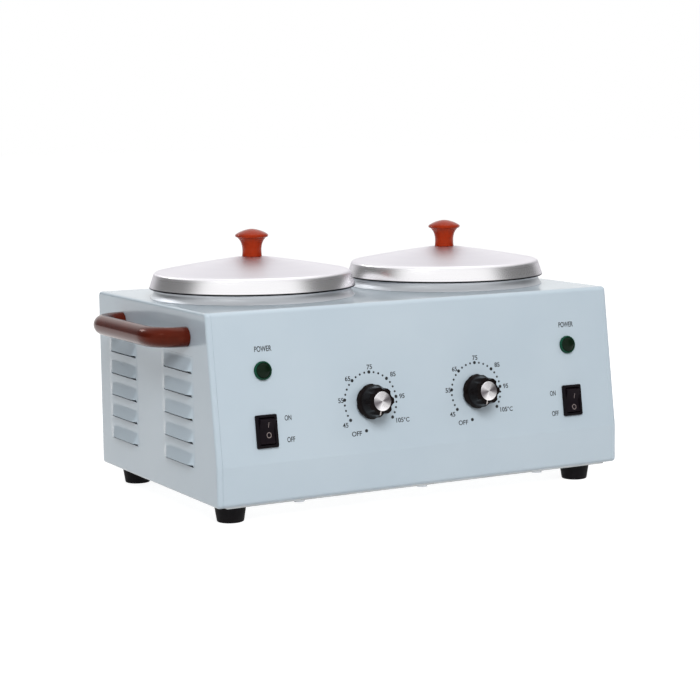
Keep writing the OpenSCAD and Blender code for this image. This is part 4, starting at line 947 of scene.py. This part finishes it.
def makeLid(side, s):
    sheet, hole, bend, pad = lid["sheet"], lid["hole"], lid["round"], lid["pad"]
    shoulder = bailRadius + pot["wire"] / 2 + 0.6 + sheet
    slope = lid["rise"] / (shoulder - pad)
    shoulderTop = beadTop + lid["seat"] + sheet - (beadOuter - (shoulder - bend)) * slope
    edgeZ = shoulderTop - lid["skirt"]
    edge = shoulder + lid["flare"]
    top = shoulderTop + lid["rise"]
    angle = math.degrees(math.atan(slope))
    cx, cz = shoulder - bend, shoulderTop - bend
    profile = [(hole, top - sheet), (pad - 1.2, top - sheet), (pad + 1.5, top - sheet - 0.2)]
    profile += arc(cx, cz, bend - sheet, 90 - angle, 12, 10)
    profile += [(edge - sheet - 0.3, edgeZ + 1.0)]
    profile += arc(edge - 0.75, edgeZ + 0.75, 0.75, -150, 10, 8)  # rolled edge
    profile += arc(cx, cz, bend, 12, 90 - angle, 14)
    # The cone swells a little between the shoulder and the pad
    r0, z0 = profile[-1]
    for i in range(1, 12):
        f = i / 12
        profile.append((r0 + (pad + 1.5 - r0) * f, z0 + (top - 0.05 - z0) * f + 0.35 * math.sin(math.pi * f)))
    profile += [(pad + 1.0, top - 0.03), (pad, top), (hole, top)]
    piece = lathe(side + "Lid", profile, overWell(s), 256, True)
    dress(piece, side + "_lid", "lid_aluminium", side + "_lid")
    return top


def makeLidKnob(side, s, base):
    # A turned stem that widens into a thin-edged cap
    stem = [(6.35, 0.0), (6.75, 0.3), (6.65, 1.2), (6.5, 3.0), (6.5, 5.2), (6.75, 7.2), (7.3, 9.3),
            (8.1, 10.9), (9.0, 12.0), (9.4, 12.5), (9.65, 12.85)]
    cap = [(10.1, 12.95), (10.8, 13.2), (11.15, 13.7), (11.25, 14.2), (11.05, 14.7), (10.4, 15.3),
           (9.4, 15.9), (7.8, 16.7), (5.8, 17.5), (3.3, 18.2), (1.4, 18.52), (0.0, lid["knob"])]
    profile = [(lid["hole"], 0.0)] + stem + cap + [(0.0, 11.0), (lid["hole"], 11.0)]
    knob = lathe(side + "LidKnob", profile, overWell(s, base), 128, True)
    dress(knob, side + "_lid", "red_phenolic", side + "_lid_knob")


for side, s in sides:
    makeWell(side, s)
    makePot(side, s)
    makeBail(side, s)
    makeLidKnob(side, s, makeLid(side, s))


print("dials")

dial = {
    "skirt": 11.5, "skirtHigh": 3.2, "step": 1.75, "stepHigh": 6.4, "grip": 9.0, "front": 15.4, "lobes": 7,
    "flute": 3.0, "lean": 15.0, "cap": 6.2, "hollow": 8.9, "hollowDeep": 3.6, "face": 6.7, "bore": 3.05,
}


def dialRadius(angle, z):
    # Skirt, then a cone with flutes that fade towards the skirt
    body = dial["skirt"]
    if z >= dial["stepHigh"]:
        body -= dial["step"]
        body -= (body - dial["grip"] - 0.1) * (z - dial["stepHigh"]) / (dial["front"] - dial["stepHigh"])
    elif z >= dial["skirtHigh"]:
        f = (z - dial["skirtHigh"]) / (dial["stepHigh"] - dial["skirtHigh"])
        body -= dial["step"] * (1 - (1 - f) ** 2.2)
    pitch = math.tau / dial["lobes"]
    off = math.radians(-90 - controls["offAngle"]) + pitch / 2
    phase = (angle - off + pitch / 2) % pitch - pitch / 2
    centre = dial["grip"] + dial["flute"] - 1.3 + (dial["front"] - z) * math.tan(math.radians(dial["lean"]))
    across = centre * math.sin(phase)
    if abs(across) >= dial["flute"]:
        return body
    wall = centre * math.cos(phase) - math.sqrt(dial["flute"] ** 2 - across ** 2)
    return (body + wall - math.hypot(body - wall, 0.5)) / 2 + 0.02


def makeDial(side, s):
    steps, front = dial["lobes"] * 32, dial["front"]
    heights = [0.5, 0.7, 1.2, 1.7, 2.2, 3.1, 3.3, 3.6, 4.0, 4.6, 5.2, *range(6, 15), 14.6, 15.0, 15.25, front]
    ease = {0.5: 1.5, 0.7: 1.1, 1.2: 0.5, 1.7: 0.15, 15.0: 0.12, 15.25: 0.35, front: 0.75}  # rounds both ends
    rings = [circle(dial["hollow"], z, steps) for z in (dial["hollowDeep"], heights[0])]
    for z in heights:
        loop = []
        for k in range(steps):
            angle = math.tau * k / steps
            radius = dialRadius(angle, z) - ease.get(z, 0.0)
            loop.append((radius * math.cos(angle), radius * math.sin(angle), z))
        rings.append(loop)
    rings.append(circle(dial["face"], front, steps))
    place, body = onControl("dial", s), side + "_dial"
    knob = loft(side + "DialKnob", rings, place)
    carve(knob, [drill(dial["bore"], 3, front - 2, place)])
    dress(knob, body, "black_phenolic", body + "_knob")
    c = dial["cap"]
    profile = [(0.0, front), (c - 0.2, front), (c, front + 0.1), (c, front + 0.4), (c - 0.15, front + 0.55),
               (c - 0.4, front + 0.6), (0.0, front + 0.6)]
    cap = lathe(side + "DialKnobCap", profile, place, 96)
    dress(cap, body, "cap_aluminium", body + "_cap")
    # White pointer from the cap's edge over the front's rim, towards the off mark
    spine = ((6.25, 15.46), (8.3, 15.46), (8.7, 15.4), (9.0, 15.1), (9.15, 14.4))
    section = ((-0.32, 0), (0.32, 0), (0.32, 0.3), (-0.32, 0.3))
    rings = [[(a, b, z - drop) for b, drop in section] for a, z in spine]
    strip = loft(side + "DialKnobPointer", rings, place @ turned(-90 - controls["offAngle"], "Z"))
    dress(strip, body, "black_phenolic", material=whiteInk)


for side, s in sides:
    makeDial(side, s)


print("switches and lamps")

switch = {
    "width": 15.0, "height": 21.0, "out": 2.0, "opening": (10.8, 17.4), "body": (12.8, 18.8), "deep": 17.0,
}
marks = {
    "left": ((0.7, 4.4), (1.1, -2.2)), "right": ((1.2, 3.2), (0.9, -4.3)),  # middles of the bar and the ring
    "bar": 3.4, "stroke": 0.34, "ring": 1.85, "ringStroke": 0.45, "proud": 0.02, "sunk": 0.3,
}
rocker = {"width": 10.2, "radius": 8.4, "tip": 26.0, "dip": 1.6, "tilt": 16.0, "pivot": -1.0, "pin": 0.7}
rockerTip = rocker["radius"] * math.cos(math.radians(rocker["tip"]))
rockerTop = rocker["radius"] * math.sin(math.radians(rocker["tip"]))
lamp = {"rim": 6.0, "lens": 4.6, "seat": 1.75, "rise": 1.35}


def rockerFace(y):
    # Height of the dished face above the rocker's pin
    f = abs(y) / rockerTip
    return rockerTop + 0.1 - rocker["dip"] * (1 - f) ** 1.15 - 0.28 * math.sin(math.pi * f)


def makeSwitchFrame(side, s):
    w, h, top = switch["width"], switch["height"], switch["out"]
    ow, oh = switch["opening"]
    body = switch["body"]
    rings = [roundedRect(*body, 0.5, -switch["deep"]), roundedRect(*body, 0.5, 0),
             roundedRect(w - 0.3, h - 0.3, 0.9, 0), roundedRect(w, h, 1.0, 0.2), roundedRect(w, h, 1.0, 1.0)]
    for angle in (15, 35, 55, 75, 90):
        inward = 1.6 * (1 - math.cos(math.radians(angle)))
        rings.append(roundedRect(w - inward, h - inward, 1.0, 1.0 + math.sin(math.radians(angle))))
    rings += [roundedRect(ow + 0.5, oh + 0.5, 0.8, top), roundedRect(ow + 0.15, oh + 0.15, 0.7, top - 0.1),
              roundedRect(ow, oh, 0.6, top - 0.35), roundedRect(ow, oh, 0.6, -6.0)]
    shell = loft(side + "SwitchFrame", rings, onControl("switch", s), 40)
    tabs = [onControl("switch", s, 0, up) for up in (-5, 0, 5)]
    join(shell, [block("tab", (4.8, 0.8), 0.2, -24, -16.9, tab) for tab in tabs])
    dress(shell, "housing", "black_plastic", side + "_switch_frame")


def makeRocker(side, s):
    r, tip, body = rocker["radius"], rocker["tip"], side + "_rocker"
    profile = arc(0, 0, r, tip - 4, -15, 8) + arc(0, 0, r, 195, 184 - tip, 8)
    profile += arc(-rockerTip + 0.35, rockerTop - 0.35, 0.5, 160, 80, 4)
    for i in range(1, 20):
        y = -rockerTip + 0.5 + (2 * rockerTip - 1.0) * i / 20
        profile.append((y, rockerFace(y)))
    profile += arc(rockerTip - 0.35, rockerTop - 0.35, 0.5, 100, 20, 4)
    half, rings = rocker["width"] / 2, []
    edges = ((half, 0.3), (half - 0.08, 0.12), (half - 0.25, 0.0))  # both ends of the paddle are rounded
    for x, inset in [(-x, inset) for x, inset in edges] + list(edges[::-1]):
        scale = 1 - inset / r
        rings.append([(x, a * scale, b * scale) for a, b in profile])
    place = onControl("switch", s, rocker["pivot"]) @ turned(rocker["tilt"] / 2, "X")
    paddle = loft(side + "SwitchRocker", rings, place, 40)
    join(paddle, [drill(rocker["pin"], -6.0, 6.0, place @ turned(90, "Y"), 24)])
    dress(paddle, body, "rocker_plastic", body)

    (onX, onY), (offX, offY) = marks[side]
    half, proud, sunk = marks["stroke"] / 2, marks["proud"], marks["sunk"]
    strip = []
    for i in range(7):
        y = onY + marks["bar"] * (i / 6 - 0.5)
        edge = ((-half, proud), (half, proud), (half, -sunk), (-half, -sunk))
        strip.append([(onX + x, y, rockerFace(y) + z) for x, z in edge])
    on = loft(side + "SwitchOnMark", strip, place, 60)
    dress(on, body, "rocker_plastic", material=markInk)
    outer, n = marks["ring"], 40
    inner = outer - marks["ringStroke"]
    points = []
    for k in range(n):
        a = math.tau * k / n
        for radius, drop in ((outer, -sunk), (outer, proud), (inner, proud), (inner, -sunk)):
            x, y = offX + radius * 0.9 * math.cos(a), offY + radius * math.sin(a)
            points.append((x, y, rockerFace(y) + drop))
    faces = [[k * 4 + j, k * 4 + (j + 1) % 4, (k + 1) % n * 4 + (j + 1) % 4, (k + 1) % n * 4 + j]
             for k in range(n) for j in range(4)]
    off = makeMesh(side + "SwitchOffMark", points, faces, place, 60)
    dress(off, body, "rocker_plastic", material=markInk)


def makeLamp(side, s):
    # A low dished lens inside a raised rim
    rim, seat = lamp["rim"], lamp["seat"]
    profile = [(0.0, 0.0), (rim - 0.2, 0.0), (rim, 0.2), (rim, 1.3), (5.85, 1.75), (5.5, 2.05), (5.1, 2.1),
               (4.85, 1.95), (4.75, seat)]
    for angle in range(8, 90, 9):
        a = math.radians(angle)
        profile.append((lamp["lens"] * math.cos(a), seat + lamp["rise"] * math.sin(a)))
    profile += [(0.0, seat + lamp["rise"])]
    lens = lathe(side + "LampLens", profile, onControl("lamp", s), 96, False, 40)
    dress(lens, "housing", "green_lens", side + "_lamp_lens")


for side, s in sides:
    makeSwitchFrame(side, s)
    makeRocker(side, s)
    makeLamp(side, s)


print("printing")

# How far each stroke spreads, for letters 1 high; the ink's thickness; heights of numbers; radii of the dots
lettering = {"bolder": 0.014, "ink": 0.06, "number": 3.1, "bigDot": 1.1, "smallDot": 0.7}
scaleNumbers = {
    "45": (-19.7, -13.7), "55": (-21.7, 2.4), "65": (-15.6, 16.0), "75": (1.0, 22.3), "85": (18.0, 16.4),
    "95": (23.5, 1.7), "105": (20.6, -13.8), "°C": (25.7, -13.8), "OFF": (-11.9, -19.8),
}
frontWords = {  # each word with its middle, its height and its width
    "switchWords": (("ON", -100.6, 27.6, 3.4, 4.7), ("OFF", -99.5, 13.8, 3.4, 5.6),
                    ("ON", 101.4, 26.3, 3.4, 4.6), ("OFF", 102.3, 12.5, 3.4, 5.6)),
    "powerWords": (("POWER", -114.4, 72.2, 3.6, 12.0), ("POWER", 116.4, 72.3, 3.6, 11.9)),
}


def word(text, x, v, height, width=None):
    # Flat letters just proud of the front; height is that of a capital
    curve = bpy.data.curves.new("word", "FONT")
    curve.body = text
    curve.align_x = "CENTER"
    curve.align_y = "CENTER"
    curve.extrude = 0.00001
    curve.offset = lettering["bolder"]
    curve.size = 1.0
    holder = newObject("word", curve)
    bpy.context.view_layer.update()
    mesh = bpy.data.meshes.new_from_object(holder.evaluated_get(bpy.context.evaluated_depsgraph_get()))
    bpy.data.objects.remove(holder)
    xs = [p.co.x for p in mesh.vertices]
    ys = [p.co.y for p in mesh.vertices]
    scaleY = height * mm / (max(ys) - min(ys))
    scaleX = width * mm / (max(xs) - min(xs)) if width else scaleY
    across, middle = (max(xs) + min(xs)) / 2, (max(ys) + min(ys)) / 2
    for p in mesh.vertices:
        lift = lettering["ink"] * mm if p.co.z > 0 else 0.0
        p.co = Vector(((p.co.x - across) * scaleX + x * mm, (p.co.y - middle) * scaleY + v * mm, lift))
    return mesh


def disc(x, v, radius, steps=24):
    mesh = bpy.data.meshes.new("dot")
    points = [Vector((x + px, v + pv, z)) * mm for height in (0.0, lettering["ink"])
              for px, pv, z in circle(radius, height, steps)]
    faces = bridge(steps, 2) + [list(range(steps))[::-1], list(range(steps, 2 * steps))]
    mesh.from_pydata(points, [], faces)
    return mesh


def printOn(name, meshes, ink):
    # One piece from several flat marks
    build = bmesh.new()
    for mesh in meshes:
        build.from_mesh(mesh)
        bpy.data.meshes.remove(mesh)
    bmesh.ops.remove_doubles(build, verts=build.verts, dist=1e-6)
    bmesh.ops.recalc_face_normals(build, faces=build.faces)
    mesh = bpy.data.meshes.new(name)
    build.to_mesh(mesh)
    build.free()
    dress(newObject(name, mesh, onFront(0, 0)), "housing", "coated_steel", material=ink)


def makeScale(side, s):
    # A big dot at off and at each number, with three small ones between the numbers
    x, v = controls["dial"]
    cx, cv = s * x, v
    first, step, reach = controls["firstAngle"], controls["stepAngle"], controls["dotRadius"]
    spots = [(controls["offAngle"], lettering["bigDot"])]
    for i in range(25):
        spots.append((first + i * step / 4, lettering["smallDot" if i % 4 else "bigDot"]))
    dots = []
    for angle, radius in spots:
        a = math.radians(-90 - angle)
        dots.append(disc(cx + reach * math.cos(a), cv + reach * math.sin(a), radius))
    printOn(side + "ScaleDots", dots, dotInk)
    numbers = [word(text, cx + dx, cv + dv, lettering["number"]) for text, (dx, dv) in scaleNumbers.items()]
    printOn(side + "ScaleNumbers", numbers, blackInk)


for side, s in sides:
    makeScale(side, s)
for name, words in frontWords.items():
    printOn(name, [word(*entry) for entry in words], blackInk)


print("back, base and inside")


def socketRing(width, height, z, chamfer=4.0, corner=6):
    # Its two upper corners are cut off straight, as the connector's are
    w, h = width / 2, height / 2
    points = [(w - chamfer * i / corner, h - chamfer * (1 - i / corner), z) for i in range(corner + 1)]
    points += [(-x, y, z) for x, y, _ in points[::-1]]
    points += [(x, y, z) for x, y in arc(-w + 0.5, -h + 0.5, 0.5, 180, 270, corner)]
    points += [(x, y, z) for x, y in arc(w - 0.5, -h + 0.5, 0.5, 270, 360, corner)]
    return points


def makeInlet():
    w, h = inlet["flange"]
    t = inlet["thick"]
    rings = [roundedRect(*inlet["body"], 1.0, -20), roundedRect(*inlet["body"], 1.0, 0),
             roundedRect(w - 0.4, h - 0.4, 3.0, 0), roundedRect(w, h, 3.2, 0.3),
             roundedRect(w, h, 3.2, t - 0.6), roundedRect(w - 0.35, h - 0.35, 3.05, t - 0.2),
             roundedRect(w - 1.2, h - 1.2, 2.7, t), socketRing(25.4, 17.4, t),
             socketRing(24.7, 16.7, t - 0.15), socketRing(24.4, 16.4, t - 0.6),
            socketRing(24.4, 16.4, t - 16)]
    place = onBack(0, inlet["z"])
    shell = loft("powerInlet", rings, place)
    hole = inlet["screw"]
    sunk = [(0, -1), (hole, -1), (hole, 0.65), (2.85, 2.45), (2.85, 4), (0, 4)]  # countersunk screw holes
    cutters = [lathe("cut", sunk, onBack(e * inlet["pitch"] / 2, inlet["z"]), 32) for e in (-1, 1)]
    cutters += [block("cut", (4.0, 2.0), 0.2, -21, -12, place @ at(x, y, 0)) for x, y in inlet["pins"]]
    carve(shell, cutters)
    dress(shell, "housing", "black_plastic", "power_inlet")


makeInlet()

# The CAD's own solids carry on where their shape is right
for subpart in frame["record"]["subparts"]:
    mesh = frame["nodes"][subpart["node"]].data
    mesh.materials.clear()
    mesh.materials.append(finishes[subpart["material_slot"]])

print("done")
